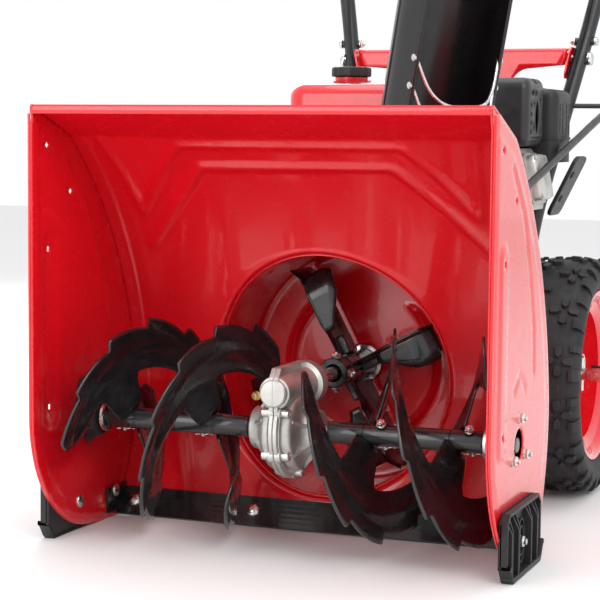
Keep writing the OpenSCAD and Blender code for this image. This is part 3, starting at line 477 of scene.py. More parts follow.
def back_at(s):
    """Point and inward normal of the housing's back at a length s down from the lip."""
    s = max(0.0, min(BACK_S[-1], s))
    i = min(max(k for k, v in enumerate(BACK_S) if v <= s), len(BACK_S) - 2)
    t = (s - BACK_S[i]) / (BACK_S[i + 1] - BACK_S[i])

    def tangent(k):
        a, b = BACK_PATH[max(k - 1, 0)], BACK_PATH[min(k + 1, len(BACK_PATH) - 1)]
        return Vector((b[0] - a[0], b[1] - a[1])).normalized()

    p = Vector(BACK_PATH[i]).lerp(Vector(BACK_PATH[i + 1]), t)
    d = tangent(i).lerp(tangent(i + 1), t).normalized()
    return p, Vector((d.y, -d.x))


def back_s(z):
    """Length down the back where it passes height z, below the lip."""
    for i in range(len(LIP_PATH), len(BACK_PATH) - 1):
        z0, z1 = BACK_PATH[i][1], BACK_PATH[i + 1][1]
        if z0 >= z >= z1:
            return BACK_S[i] + (BACK_S[i + 1] - BACK_S[i]) * (z0 - z) / (z0 - z1)
    return BACK_S[-1]


def to_segment(p, a, b):
    """Distance from p to the segment a-b in a plane."""
    d = (b[0] - a[0], b[1] - a[1])
    t = ((p[0] - a[0]) * d[0] + (p[1] - a[1]) * d[1]) / (d[0] ** 2 + d[1] ** 2)
    t = max(0.0, min(1.0, t))
    return math.hypot(p[0] - a[0] - d[0] * t, p[1] - a[1] - d[1] * t)


def to_line(p, points):
    return min(to_segment(p, a, b) for a, b in zip(points, points[1:]))


def on_back(points):
    return [(x, back_s(z)) for x, z in points]


PANEL_LINE = on_back([(-262, 533), (-243, 432), (-168, 512), (-152, 523), (154, 523), (191, 486),
                      (232, 432), (247, 521), (256, 536)])
RIDGE_LINE = on_back([(-244, 386), (-134, 495), (132, 497), (244, 386)])


def back_lift(x, s):
    """Height of the pressed lines on the housing's back."""
    if s < 14:
        return 0.0
    lift = 3.2 * soft_step(1 - to_line((x, s), PANEL_LINE) / 9)
    near = to_line((x, s), RIDGE_LINE)
    lift += 3.0 * soft_step((8.5 - near) / 4.5)
    edge = HALF_W - SHEET - abs(x)
    lift += 1.4 * soft_step((24 - edge) / 4) * soft_step((s - 118) / 6)
    if s > 130:
        weld = math.hypot(edge - 12, (s % 44) - 22)
        lift -= 1.0 * soft_step(1 - weld / 5.5)
    return lift


def back_point(x, s):
    p, n = back_at(s)
    q = p + n * back_lift(x, s)
    return (x, q.x, q.y)


ROLL = 8.0


def housing_shell():
    """Curved back with its pressed lines, front lip and the rolled edge round the drum."""
    side = 190
    edge_cols = [HALF_W - SHEET - e for e in (0, 4, 8, 12, 16, 19, 21, 23, 25, 28, 33)]
    cols = edge_cols + [267 - 5.5 * i for i in range(14)] + [side - 5 * i for i in range(38)]
    cols = sorted({round(c, 2) for c in cols if c > 0.5} | {round(-c, 2) for c in cols if c > 0.5} | {0.0})
    rows = list(BACK_S)
    cut = min(range(len(rows)), key=lambda i: abs(rows[i] - back_s(402)))
    b = Build()
    left, right = cols.index(-side), cols.index(side)
    index = {}

    def vert(i, k):
        if (i, k) not in index:
            b.v.append(Vector(back_point(cols[k], rows[i])))
            index[i, k] = len(b.v) - 1
        return index[i, k]

    for i in range(len(rows) - 1):
        for k in range(len(cols) - 1):
            if i >= cut and left <= k < right:
                continue
            b.f.append((vert(i, k), vert(i + 1, k), vert(i + 1, k + 1), vert(i, k + 1)))
    last = len(rows) - 1
    ring = ([(cut, k) for k in range(left, right)] + [(i, right) for i in range(cut, last)]
            + [(last, k) for k in range(right, left, -1)] + [(i, left) for i in range(last, cut, -1)])
    steps = 8
    previous = [vert(i, k) for i, k in ring]
    frames = []
    for i, k in ring:
        x, s = cols[k], rows[i]
        p, _ = back_at(s)
        a = math.atan2(p.y - IMP_Z, x)
        r = DRUM_R + ROLL
        frames.append(((x, s), (r * math.cos(a), back_s(IMP_Z + r * math.sin(a))), a))
    for j in range(1, steps + 1):
        t = j / steps
        row = []
        for (x, s), (cx, cs), _ in frames:
            b.v.append(Vector(back_point(x + (cx - x) * t, s + (cs - s) * t)))
            row.append(len(b.v) - 1)
        stitch(b, previous, row)
        previous = row
    for deg in range(15, 91, 15):
        f = math.radians(deg)
        row = []
        for (_, _), (cx, cs), a in frames:
            p, _ = back_at(cs)
            r = DRUM_R + ROLL - ROLL * math.sin(f)
            b.v.append(Vector((r * math.cos(a), p.x + ROLL * (1 - math.cos(f)), IMP_Z + r * math.sin(a))))
            row.append(len(b.v) - 1)
        stitch(b, previous, row)
        previous = row
    return b.make("housing_shell", RED, "frame", ["bucket_shell"], recalc=False, solid=SHEET, sharp=50)


def stitch(b, one, two):
    n = len(one)
    for k in range(n):
        b.f.append((one[(k + 1) % n], one[k], two[k], two[(k + 1) % n]))


def drum_start(a):
    """Depth where the drum's wall leaves the shell, at angle a round the drum."""
    p, _ = back_at(back_s(IMP_Z + (DRUM_R + ROLL) * math.sin(a)))
    return p.x + ROLL - 1


def drum():
    wall_rows = 26
    around = 120
    out_r = 66.0
    b = Build()
    keep = []
    for k in range(around):
        a = 2 * math.pi * k / around
        y0 = drum_start(a)
        for i in range(wall_rows + 1):
            y = y0 + (DRUM_BACK + 1 - y0) * i / wall_rows
            x, z = DRUM_R * math.cos(a), IMP_Z + DRUM_R * math.sin(a)
            away = Vector((x - CHUTE_X, y - CHUTE_Y))
            upper = z > IMP_Z
            if upper and abs(away.length - out_r) < 5:
                away = away.normalized() * out_r
                x, y = CHUTE_X + away.x, CHUTE_Y + away.y
                z = IMP_Z + math.sqrt(max(0, DRUM_R ** 2 - x * x))
            b.v.append(Vector((x, y, z)))
            keep.append(not (upper and away.length < out_r - 0.5))
    m = wall_rows + 1
    for k in range(around):
        for i in range(wall_rows):
            q = (k * m + i, k * m + i + 1, (k + 1) % around * m + i + 1, (k + 1) % around * m + i)
            if all(keep[j] for j in q):
                b.f.append(q)
    used = sorted({i for f in b.f for i in f})
    new = {old: i for i, old in enumerate(used)}
    b.v = [b.v[i] for i in used]
    b.f = [tuple(new[i] for i in f) for f in b.f]
    b.make("drum_wall", RED, "frame", ["impeller_drum"], recalc=False, solid=2.5, sharp=50)

    rear = Build()
    radii = [26, 30, 40, 60, 80, 96, 103, 106, 108, 110, 112, 114, 117, 124, 140, 156, 162, 166, DRUM_R]
    rows = []
    for r in radii:
        row = []
        for k in range(around):
            a = 2 * math.pi * k / around
            z = r * math.sin(a)
            ridge = 6.0 * soft_step(1 - abs(r - 110) / 7) * soft_step((88 - z) / 8)
            corner = 5.0 * soft_step((r - 160) / 8) ** 2
            row.append((r * math.cos(a), DRUM_BACK - ridge - corner, IMP_Z + z))
        rows.append(row)
    rear.grid(rows, closed=True)
    rear.make("drum_rear_wall", RED, "frame", ["impeller_drum"], recalc=False, solid=-2.5, sharp=50)

    collar = Build()
    rows = [[], [], [], []]
    flange_r = 102
    for k in range(72):
        a = 2 * math.pi * k / 72
        c, s = math.cos(a), math.sin(a)
        x = CHUTE_X + out_r * c
        low = IMP_Z + math.sqrt(max(0, (DRUM_R + 1) ** 2 - x * x))
        rows[0].append((x, CHUTE_Y + out_r * s, low))
        rows[1].append((x, CHUTE_Y + out_r * s, RING_Z - 4))
        rows[2].append((x + 3 * c, CHUTE_Y + (out_r + 3) * s, RING_Z - 1.5))
        rows[3].append((CHUTE_X + flange_r * c, CHUTE_Y + flange_r * s, RING_Z - 1.5))
    collar.grid(rows, closed=True)
    collar.make("outlet_collar", RED, "frame", ["impeller_drum"], recalc=False, solid=2.5)

    bracket = Build()
    worm_x, worm_z = 217, 456
    bracket.box((158, 318, RING_Z - 8), (229, 406, RING_Z - 4.5))
    for y in (318, 398):
        rim = [(206, RING_Z - 6), (218, RING_Z - 6), (229, RING_Z - 6)] + arc2((worm_x, worm_z), 12, -10, 190,
                                                                               3)
        away = [(Vector(p) - Vector((worm_x, worm_z))).normalized() * 6.4 for p in rim]
        bore = [(worm_x + d.x, worm_z + d.y) for d in away]
        loops = [[(x, yy, z) for x, z in loop] for loop in (rim, bore) for yy in (y, y + 8)]
        bracket.grid([loops[0], loops[1], loops[3], loops[2]], closed=True, wrap=True)
    bracket.make("worm_bracket", RED, "frame", ["impeller_drum"], bevel=0.6)


def inside(p, loop):
    hit = False
    for (x0, y0), (x1, y1) in zip(loop, loop[1:] + loop[:1]):
        if (y0 > p[1]) != (y1 > p[1]) and p[0] < (x1 - x0) * (p[1] - y0) / (y1 - y0) + x0:
            hit = not hit
    return hit


def plate_mesh(outline, holes, step, keep_off=0.45):
    """Triangles over an outline with holes, with a grid of inner points for pressed shapes."""
    coords, edges = [], []
    for loop in [outline] + holes:
        n = len(coords)
        coords += loop
        edges += [(n + i, n + (i + 1) % len(loop)) for i in range(len(loop))]
    ys, zs = [p[0] for p in outline], [p[1] for p in outline]
    loops = [outline] + holes
    closed = [loop + loop[:1] for loop in loops]
    row = 0
    z = min(zs) + step / 2
    while z < max(zs):
        y = min(ys) + (step / 2 if row % 2 else step)
        while y < max(ys):
            p = (y, z)
            if inside(p, outline) and not any(inside(p, h) for h in holes):
                if min(to_line(p, c) for c in closed) > step * keep_off:
                    coords.append(p)
            y += step
        z += step * 0.87
        row += 1
    out, _, faces, *_ = delaunay_2d_cdt([Vector(p) for p in coords], edges, [], 0, 1e-4)
    keep = []
    for f in faces:
        c = sum((out[i] for i in f), Vector((0, 0))) / len(f)
        if inside(c, outline) and not any(inside(c, h) for h in holes):
            keep.append(tuple(f))
    return [tuple(p) for p in out], keep


def front_gap(y, z):
    """Distance back from the side plate's front edge and toe."""
    if z > TOE_C[1] or y > TOE_C[0]:
        return y if z > TOE_C[1] else min(y, z)
    return TOE_R - math.hypot(y - TOE_C[0], z - TOE_C[1])


BACK_DRAW = BACK_PATH[len(LIP_PATH):]


def side_lift(y, z):
    """Height of the pressed shapes on a side plate, towards the inside."""
    gap = front_gap(y, z)
    lift = 1.8 * soft_step((24 - gap) / 4)
    slot = to_segment((y, z), (54, 168), (54, 392))
    if slot < 22:
        lift -= 2.6 * soft_step((19 - slot) / 5)
    rear = to_line((y, z), BACK_DRAW)
    lift += 1.2 * soft_step((24 - rear) / 4)
    arrow = to_line((y, z), [(112, 226), (140, 246), (168, 226)])
    lift += 2.0 * soft_step(1 - arrow / 6)
    wave = to_line((y, z), [(92, 500), (150, 440), (186, 360), (206, 300), (210, 240)])
    lift += 2.2 * soft_step(1 - wave / 7)
    return lift


def side_plates():
    outer = joined([(0, HOUSING_H - 2), (2, HOUSING_H - 1)], line2((6, HOUSING_H - 2.6), TOP_BEND, 8),
                   arc2(UPPER_C, UPPER_R, UPPER_FROM, 6.7, 8), arc2(LOWER_C, LOWER_R, 3.8, LOWER_TO, 8),
                   line2((238, 0.5), (172, 0.5), 8), arc2(TOE_C, TOE_R - 0.5, 270, 180, 8),
                   line2((0.5, 180), (0.5, HOUSING_H - 4), 8))
    diamond = [(0, 5.2), (5.2, 0), (0, -5.2), (-5.2, 0)]
    square = [(3.6, 3.6), (3.6, -3.6), (-3.6, -3.6), (-3.6, 3.6)]
    holes = [[(c[0] + p[0], c[1] + p[1]) for p in diamond] for c in ((44, 522), (107, 461))]
    holes += [[(c[0] + p[0], c[1] + p[1]) for p in square] for c in ((51, 387), (53, 179))]
    holes.append(arc2((AUGER_Y, AUGER_Z), 21, 0, 350, 4))
    points, faces = plate_mesh(outer, holes, 6.0)
    for side, name in ((1, "side_plate_left"), (-1, "side_plate_right")):
        b = Build()
        verts = [(side * (HALF_W - SHEET - side_lift(*p)), p[0], p[1]) for p in points]
        b.add(verts, [f if side < 0 else tuple(reversed(f)) for f in faces])
        b.make(name.replace("plate", "sheet"), RED, "frame", [name], recalc=False, solid=SHEET, sharp=50)
        hem = [(side * (HALF_W + 0.4), 2.0, HOUSING_H - LIP_H)]
        hem += [(side * (HALF_W + 0.4), 2.0, z) for z in range(540, 180, -20)]
        hem += [(side * (HALF_W + 0.4), y + 2.0, z + 1.2) for y, z in arc2(TOE_C, TOE_R, 180, 268, 8)]
        Build().tube(hem, 1.9, 10).make("edge_hem" + name[10:], RED, "frame", [name])


housing_shell()
drum()
side_plates()


# ---------------------------------------------------------------- fasteners
def bolt(b, at, axis, head="hex", r=5.0, size=8.0, height=5.5, washer=True, stem=3.0):
    """Adds a bolt head or nut with its washer, seated at a point and facing along axis."""
    o, a = Vector(at), Vector(axis).normalized()
    if washer:
        b.turned(o, a, [(0, size * 1.05), (1.2, size * 1.05), (1.6, size * 0.98), (1.6, r)], 28)
    base = 1.5 if washer else 0.0
    if head == "hex":
        u = a.orthogonal().normalized()
        w = a.cross(u)
        rings = []
        for t, k in ((0, 0.97), (0.6, 1.0), (height - 1.0, 1.0), (height, 0.88)):
            rings.append([o + a * (base + t) + (u * math.cos(c) + w * math.sin(c)) * size * k
                          for c in [math.pi / 3 * i for i in range(6)]])
        b.loft(rings)
        b.turned(o, a, [(base + height - 0.5, r * 0.8), (base + height + stem, r * 0.8),
                        (base + height + stem + 0.6, r * 0.6)], 18)
    elif head == "dome":
        prof = [(base, size), (base + 0.8, size)]
        prof += [(base + 0.8 + (height - 0.8) * math.sin(c), size * math.cos(c))
                 for c in [math.pi / 2 * i / 7 for i in range(1, 7)]]
        b.turned(o, a, prof + [(base + height, 0.2)], 30)
    else:
        b.turned(o, a, [(base, size), (base + height - 1.2, size), (base + height, size * 0.86),
                        (base + height, size * 0.55), (base + height - 2.5, size * 0.5)], 30)


def bolts():
    b = Build()
    for side in (1, -1):
        for y, z in ((142, 191), (169, 142), (111, 142)):
            bolt(b, (side * HALF_W, y, z), (side, 0, 0), "hex", 4, 7.0, 4.6)
            bolt(b, (side * (HALF_W - 7.6), y, z), (-side, 0, 0), "dome", 4, 8, 3.4, False)
        bolt(b, (side * (HALF_W + 5), 131, 39), (side, 0, 0), "hex", 5, 8.0, 5.2)
        bolt(b, (side * (HALF_W - SHEET), 131, 39), (-side, 0, 0), "dome", 5, 9, 4.0, False)
        bolt(b, (side * HALF_W, 228, 37), (side, 0, 0), "hex", 5, 8.0, 4.2, stem=1)
        bolt(b, (side * (HALF_W - 7), 228, 37), (-side, 0, 0), "dome", 5, 9, 4.4, False)
        down = math.radians(-34.5)
        out = Vector((0, math.cos(down), math.sin(down)))
        for x in (95, 277):
            foot = Vector((side * x, LOWER_C[0], LOWER_C[1]))
            bolt(b, foot + out * (LOWER_R - SHEET - 4.5), -out, "dome", 5, 9.5, 4.6, False)
            bolt(b, foot + out * LOWER_R, out, "hex", 5, 8, 5, stem=2)
        for y, z in ((750, 232), (780, 290)):
            bolt(b, (side * 156, y, z), (side, 0, 0), "hex", 4, 7.5, 4.6)
    b.make("housing_bolts", ZINC, "frame", ["bolts"], sharp=32)
    g = Build()
    for deg in range(150, 391, 60):
        a = math.radians(deg)
        y, z = AUGER_Y + 55 * math.cos(a), AUGER_Z + 55 * math.sin(a)
        for side in (1, -1):
            bolt(g, (side * 9, y, z), (side, 0, 0), "cap", 4, 6.2, 8.5, washer=True)
    g.make("gearbox_bolts", ZINC, "frame", ["bolts"], sharp=32)


# ---------------------------------------------------------------- augers
FLIGHT_TURN = math.radians(335)
FLIGHT_PITCH = 235.0
FLIGHT_IN = 70.0
FLIGHT_T = 3.5
FLIGHT_X = 45.0
ARM_X = (107, 222)
PIN_X = (128, 244)
TUBE_R = 14.0


def flight(b, side, start):
    """One serrated ribbon with two arms, as a single sheet."""
    steps, teeth = 160, 10
    cols = [0, 0.09, 0.2, 0.32, 0.42, 0.5, 0.58, 0.68, 0.8, 0.9, 1.0]
    base = len(b.v)

    def spot(theta, r, x):
        return (side * x, AUGER_Y + r * math.cos(theta), AUGER_Z + r * math.sin(theta))

    for i in range(steps + 1):
        f = i / steps
        theta = start + FLIGHT_TURN * f
        phase = f * teeth % 1
        tooth = 13.0 * (1 - phase) ** 1.3 if f < 0.999 else 0.0
        fade = min(1.0, f * steps / 6, (1 - f) * steps / 6)
        taper = 20 * (1 - math.sin(math.pi / 2 * min(1.0, fade * 1.4)))
        for c in cols:
            r = FLIGHT_IN + (AUGER_R - tooth - taper * c - FLIGHT_IN) * c
            x = FLIGHT_X + 1.7 + FLIGHT_PITCH * FLIGHT_TURN / (2 * math.pi) * f
            x += 4.2 * math.exp(-((r - 98) / 7) ** 2) * fade
            b.v.append(Vector(spot(theta, r, x)))
    m = len(cols)
    for i in range(steps):
        for k in range(m - 1):
            q = (base + i * m + k, base + (i + 1) * m + k, base + (i + 1) * m + k + 1, base + i * m + k + 1)
            b.f.append(q if side > 0 else tuple(reversed(q)))
    half = 12
    for arm in ARM_X:
        mid = round(steps * (arm - FLIGHT_X) / (FLIGHT_PITCH * FLIGHT_TURN / (2 * math.pi)))
        theta0 = start + FLIGHT_TURN * mid / steps
        er = Vector((0, math.cos(theta0), math.sin(theta0)))
        et = Vector((0, -math.sin(theta0), math.cos(theta0)))
        xc = FLIGHT_X + 1.7 + FLIGHT_PITCH * FLIGHT_TURN / (2 * math.pi) * mid / steps
        previous = [base + (mid + k) * m for k in range(-half, half + 1)]
        edge = FLIGHT_TURN / steps * half
        levels = [(0.06, 28), (0.13, 26), (0.21, 24.5), (0.31, 23.2), (0.44, 22), (0.58, 20.5),
                  (0.73, 19), (0.87, 17.5), (1.0, 16)]
        root = FLIGHT_PITCH / (2 * math.pi * FLIGHT_IN)
        for t, half_width in levels:
            row = []
            for k in range(-half, half + 1):
                c = k / half
                phi = edge * c
                rho = FLIGHT_IN * math.cos(phi) * (1 - t) + 12.5 * t
                w = half_width * c
                slope = root + (0.62 - root) * soft_step(t * 1.15)
                x = xc + slope * w + 4.0 * (1 - c * c) * math.sin(math.pi * min(1, t * 1.2)) * 0.6
                q = Vector((0, AUGER_Y, AUGER_Z)) + er * rho + et * w
                b.v.append(Vector((side * x, q.y, q.z)))
                row.append(len(b.v) - 1)
            for k in range(2 * half):
                q = (previous[k], row[k], row[k + 1], previous[k + 1])
                b.f.append(q if side > 0 else tuple(reversed(q)))
            previous = row


def auger(side, turn, name):
    b = Build()
    for start in (turn, turn + 180):
        flight(b, side, math.radians(start))
    b.make(name + "_flights", BLACK, "augers", [name], recalc=False, solid=FLIGHT_T * 0.9, sharp=60)
    t = Build()
    end = HALF_W - 44
    prof = [(56, 9.8), (56, TUBE_R - 0.6), (57, TUBE_R)]
    for x in (103, 158, 218):
        prof += [(x, TUBE_R), (x + 0.8, TUBE_R - 0.9), (x + 2.2, TUBE_R - 0.9), (x + 3, TUBE_R)]
    prof += [(end - 1, TUBE_R), (end, TUBE_R - 0.6), (end, 9.8)]
    t.turned((0, AUGER_Y, AUGER_Z), (side, 0, 0), prof, 40, closed_profile=True)
    t.make(name + "_tube", BLACK, "augers", [name])


def shear_pins():
    """Shear pins through the tubes, each kept by a spring clip."""
    b = Build()
    a = math.radians(30)
    up = Vector((0, -math.sin(a), math.cos(a)))
    for side in (1, -1):
        for px in PIN_X:
            o = Vector((side * px, AUGER_Y, AUGER_Z))
            b.turned(o - up * 22, up, [(0, 2.0), (0.8, 3.0), (43, 3.0)], 18)
            bolt(b, o + up * 17, up, "hex", 3, 6, 4.5, washer=True, stem=0.5)
            loop = [(-9, 0), (-4, 1.6), (0, 3.4), (4, 1.6), (9, 3.2), (13, 5.2), (16, 2.5), (13, -0.6),
                    (9, 0.6),
                    (4, -1.2), (0, -3.2), (-4, -1.4), (-10, -2.2)]
            flat = Vector((0, up.z, -up.y))
            b.tube(smooth_path([o - up * 18.4 + Vector((u, 0, 0)) + flat * v for u, v in loop], 4), 0.9, 8)
    b.make("shear_pins_and_clips", ZINC, "augers", ["shear_pins"])
    s = Build()
    s.turned((-HALF_W + 1, AUGER_Y, AUGER_Z), (1, 0, 0),
             [(0, 8.4), (1.2, 9.5), (2 * HALF_W - 3.2, 9.5), (2 * HALF_W - 2, 8.4)], 36)
    s.make("auger_shaft_bar", STEEL, "augers", ["auger_shaft"])
    c = Build()
    for side in (1, -1):
        c.turned((side * (HALF_W - 42), AUGER_Y, AUGER_Z), (side, 0, 0),
                 [(0, 10), (0, 18.6), (1.2, 20), (4.8, 20), (6, 18.6), (6, 10)], 40, closed_profile=True)
    c.make("auger_thrust_collars", ZINC, "augers", ["auger_shaft"])


# ---------------------------------------------------------------- gearbox
def yz_disc(b, x0, x1, y, z, r, n=40, edge=0.8):
    b.turned((x0, y, z), (1, 0, 0), [(0, r - edge), (edge, r), (x1 - x0 - edge, r), (x1 - x0, r - edge)], n)


def gearbox():
    """Cast case in two halves bolted along a split flange, with the worm housing on top."""
    for side, name in ((1, "gearbox_case_left"), (-1, "gearbox_case_right")):
        boss = 43 if side > 0 else 48
        b = Build()
        o = (0, AUGER_Y, AUGER_Z)
        x = (side, 0, 0)
        b.turned(o, x, [(0.2, 30), (0.2, 61), (1.0, 62), (5.2, 62), (6.2, 61), (6.8, 57)], 64)
        b.turned(o, x, [(6.6, 30), (6.6, 59), (7.4, 60), (8.4, 59.4), (9.2, 56)], 64)
        shell = [(6, 20), (6, 53.5), (16, 53), (19.5, 51.5), (22, 48), (23.5, 42), (26, 36), (30, 31),
                 (35, 28.6),
                 (boss - 2, 27.4), (boss, 25.6), (boss, 12)]
        b.turned(o, x, shell, 64)
        worm = [(-62, 3), (-62, 16), (-60.5, 17.8), (-55, 18.2), (-54.5, 20.4), (-52, 21.6), (30, 23),
                (38, 24.6), (40, 28), (41, 30), (60, 30), (62, 28.6), (63, 25), (69, 23.4), (70, 22),
                (70, 12)]
        half_worm(b, side, worm)
        plate_outline = [(AUGER_Y - 58, IMP_Z - 24), (AUGER_Y - 58, IMP_Z + 20), (AUGER_Y - 48, IMP_Z + 31),
                         (AUGER_Y + 44, IMP_Z + 31), (AUGER_Y + 52, IMP_Z + 22), (AUGER_Y + 52, IMP_Z - 24)]
        slab(b, plate_outline, side * 0.2, side * 6.4)
        for deg in range(150, 391, 60):
            a = math.radians(deg)
            yz_disc(b, min(side * 0.3, side * 9), max(side * 0.3, side * 9), AUGER_Y + 55 * math.cos(a),
                    AUGER_Z + 55 * math.sin(a), 9.6, 28)
        for deg in (100, 160, 215, 270, 325):
            a = math.radians(deg)
            rib(b, side, a)
        b.make(name.replace("case", "casting"), ALU, "frame", [name], sharp=32)
    p = Build()
    a = math.radians(60)
    bolt(p, (-16, AUGER_Y - 36, IMP_Z - 6), (-math.sin(a), 0, math.cos(a)), "hex", 5, 6.0, 6, True, 0)
    bolt(p, (-22, AUGER_Y - 58, IMP_Z - 4), (-0.35, -0.94, 0), "hex", 4, 5.5, 4.5, True, 0)
    p.make("gearbox_plug", BRASS, "frame", ["gearbox_case_right"])


def half_worm(b, side, prof):
    rows = []
    n = 24
    for t, r in prof:
        row = []
        for k in range(n + 1):
            a = math.pi * k / n
            row.append((side * max(0.2, r * math.sin(a)), AUGER_Y + t, IMP_Z + r * math.cos(a)))
        rows.append(row)
    b.loft(rows)


def slab(b, outline, x0, x1, edge=0.8):
    """Prism over a y-z outline with softened rims."""
    cy = sum(p[0] for p in outline) / len(outline)
    cz = sum(p[1] for p in outline) / len(outline)

    def ring(x, inset):
        out = []
        for y, z in outline:
            d = Vector((cy - y, cz - z))
            d = d.normalized() * inset
            out.append((x, y + d.x, z + d.y))
        return out

    s = 1 if x1 > x0 else -1
    b.loft([ring(x0, edge), ring(x0 + s * edge, 0), ring(x1 - s * edge, 0), ring(x1, edge)])


def rib(b, side, a):
    """Web between the flange and the bearing boss of the gearbox."""
    er = Vector((0, math.cos(a), math.sin(a)))
    et = Vector((0, -math.sin(a), math.cos(a))) * 1.8
    o = Vector((0, AUGER_Y, AUGER_Z))
    line = [(7, 50), (22, 49), (38, 30), (38, 20), (7, 20)]
    rings = [[o + Vector((side * x, 0, 0)) + er * r + et * k for x, r in line] for k in (-1, 1)]
    b.loft(rings)


# ---------------------------------------------------------------- impeller
def impeller():
    hub = Build()
    hub.turned((0, 300, IMP_Z), (0, 1, 0), [(0, 12.8), (0, 19.6), (1.4, 21), (20, 21), (22, 19), (26, 19),
                                            (28, 21),
                                            (122, 21), (124, 19.6), (124, 12.8)], 48, closed_profile=True)
    hub.make("impeller_hub", BLACK, "impeller_set", ["impeller"])
    b = Build()
    g = Build()
    for deg in range(28, 299, 90):
        turn = Matrix.Translation((0, 0, IMP_Z)) @ Matrix.Rotation(math.radians(-deg), 4, "Y")
        sheet = Build()
        cols = [336 + 82 * k / 12 for k in range(13)]
        rows = []
        for r in (17, 26, 36, 44, 54, 64, 76, 90, 104, 118, 130, 138, 142, 144.5, 149, 156.5):
            row = []
            for y in cols:
                lift = 0.0
                if r > 142:
                    lift = (r - 142) * math.tan(math.radians(33))
                if 352 < y < 404:
                    inner = soft_step((r - 48) / 10) * soft_step((132 - r) / 10)
                    lift += 3.0 * inner * soft_step((y - 352) / 8) * soft_step((404 - y) / 8)
                yy = y
                if y < 352:
                    corner = max(0.0, (r - 118) * 0.55)
                    inner_cut = 18 * soft_step((66 - r) / 14)
                    yy = max(y, 336 + max(corner, inner_cut) * (352 - y) / 16)
                row.append((r, yy, lift))
            rows.append(row)
        sheet.grid(rows)
        flange = [[(r, 336.4 + max(0.0, (r - 118) * 0.55) - 1.0 * f,
                    -2 - f * (14 + 30 * soft_step((r - 52) / 62)) * min(1, (150 - r) / 16 + 0.2))
                   for r in (56, 64, 72, 80, 92, 104, 116, 128, 136, 142)] for f in (0, 0.06, 0.3, 0.65, 1)]
        sheet.grid(flange)
        sheet.moved(turn)
        b.add(sheet.v, sheet.f)
        gusset = Build().box((18, 360, -14), (46, 394, -2))
        gusset.moved(turn)
        g.add(gusset.v, gusset.f)
    b.make("impeller_blades", BLACK, "impeller_set", ["impeller"], recalc=True, solid=3.6, sharp=40)
    g.make("impeller_gussets", BLACK, "impeller_set", ["impeller"], bevel=2.5)
    s = Build()
    for z in (-1, 1):
        bolt(s, (0, 313, IMP_Z + 20 * z), (0, 0, z), "hex", 4, 6.5, 4.5, True, 2)
    for side in (-1, 1):
        bolt(s, (20 * side, 313, IMP_Z), (side, 0, 0), "hex", 4, 6.5, 4.5, True, 2)
    s.make("impeller_hub_bolts", ZINC, "impeller_set", ["impeller"])


# ---------------------------------------------------------------- bearings and skid shoes
def bearings():
    b = Build()
    for side in (1, -1):
        x = (side, 0, 0)
        o = (side * (HALF_W - 34), AUGER_Y, AUGER_Z)
        b.turned(o, x, [(0, 10.0), (0, 23), (2, 26), (22, 26), (26, 25), (31.8, 25), (31.8, 10.0)], 40,
                 closed_profile=True)
        arms = []
        for deg in range(0, 360, 10):
            a = math.radians(deg)
            near = abs(((deg - 90 + 60) % 120) - 60)
            r = 30 + 22 * soft_step((34 - near) / 22)
            arms.append((AUGER_Y + r * math.cos(a), AUGER_Z + r * math.sin(a)))
        slab(b, arms, side * (HALF_W - 8), side * (HALF_W - 2.2), 1.0)
        for deg in range(30, 360, 60):
            a = math.radians(deg)
            er = Vector((0, math.cos(a), math.sin(a)))
            et = Vector((0, -math.sin(a), math.cos(a))) * 1.6
            c = Vector((0, AUGER_Y, AUGER_Z))
            line = [(HALF_W - 8, 40), (HALF_W - 30, 24), (HALF_W - 30, 14), (HALF_W - 8, 14)]
            b.loft([[c + Vector((side * u, 0, 0)) + er * r + et * k for u, r in line] for k in (-1, 1)])
    b.make("auger_bearings", PLASTIC, "frame", ["bearings"], sharp=32)
    r = Build()
    r.turned((0, DRUM_BACK - 2, IMP_Z), (0, 1, 0), [(0, 13), (0, 20), (1.5, 21), (2.2, 25), (18, 25),
                                                    (18, 13)],
             48, closed_profile=True)
    r.turned((0, DRUM_BACK + 2.6, IMP_Z), (0, 1, 0), [(0, 20), (0, 39), (0.8, 40), (2.4, 39), (2.4, 20)], 48,
             closed_profile=True)
    r.make("impeller_bearing", ZINC, "frame", ["bearings"])


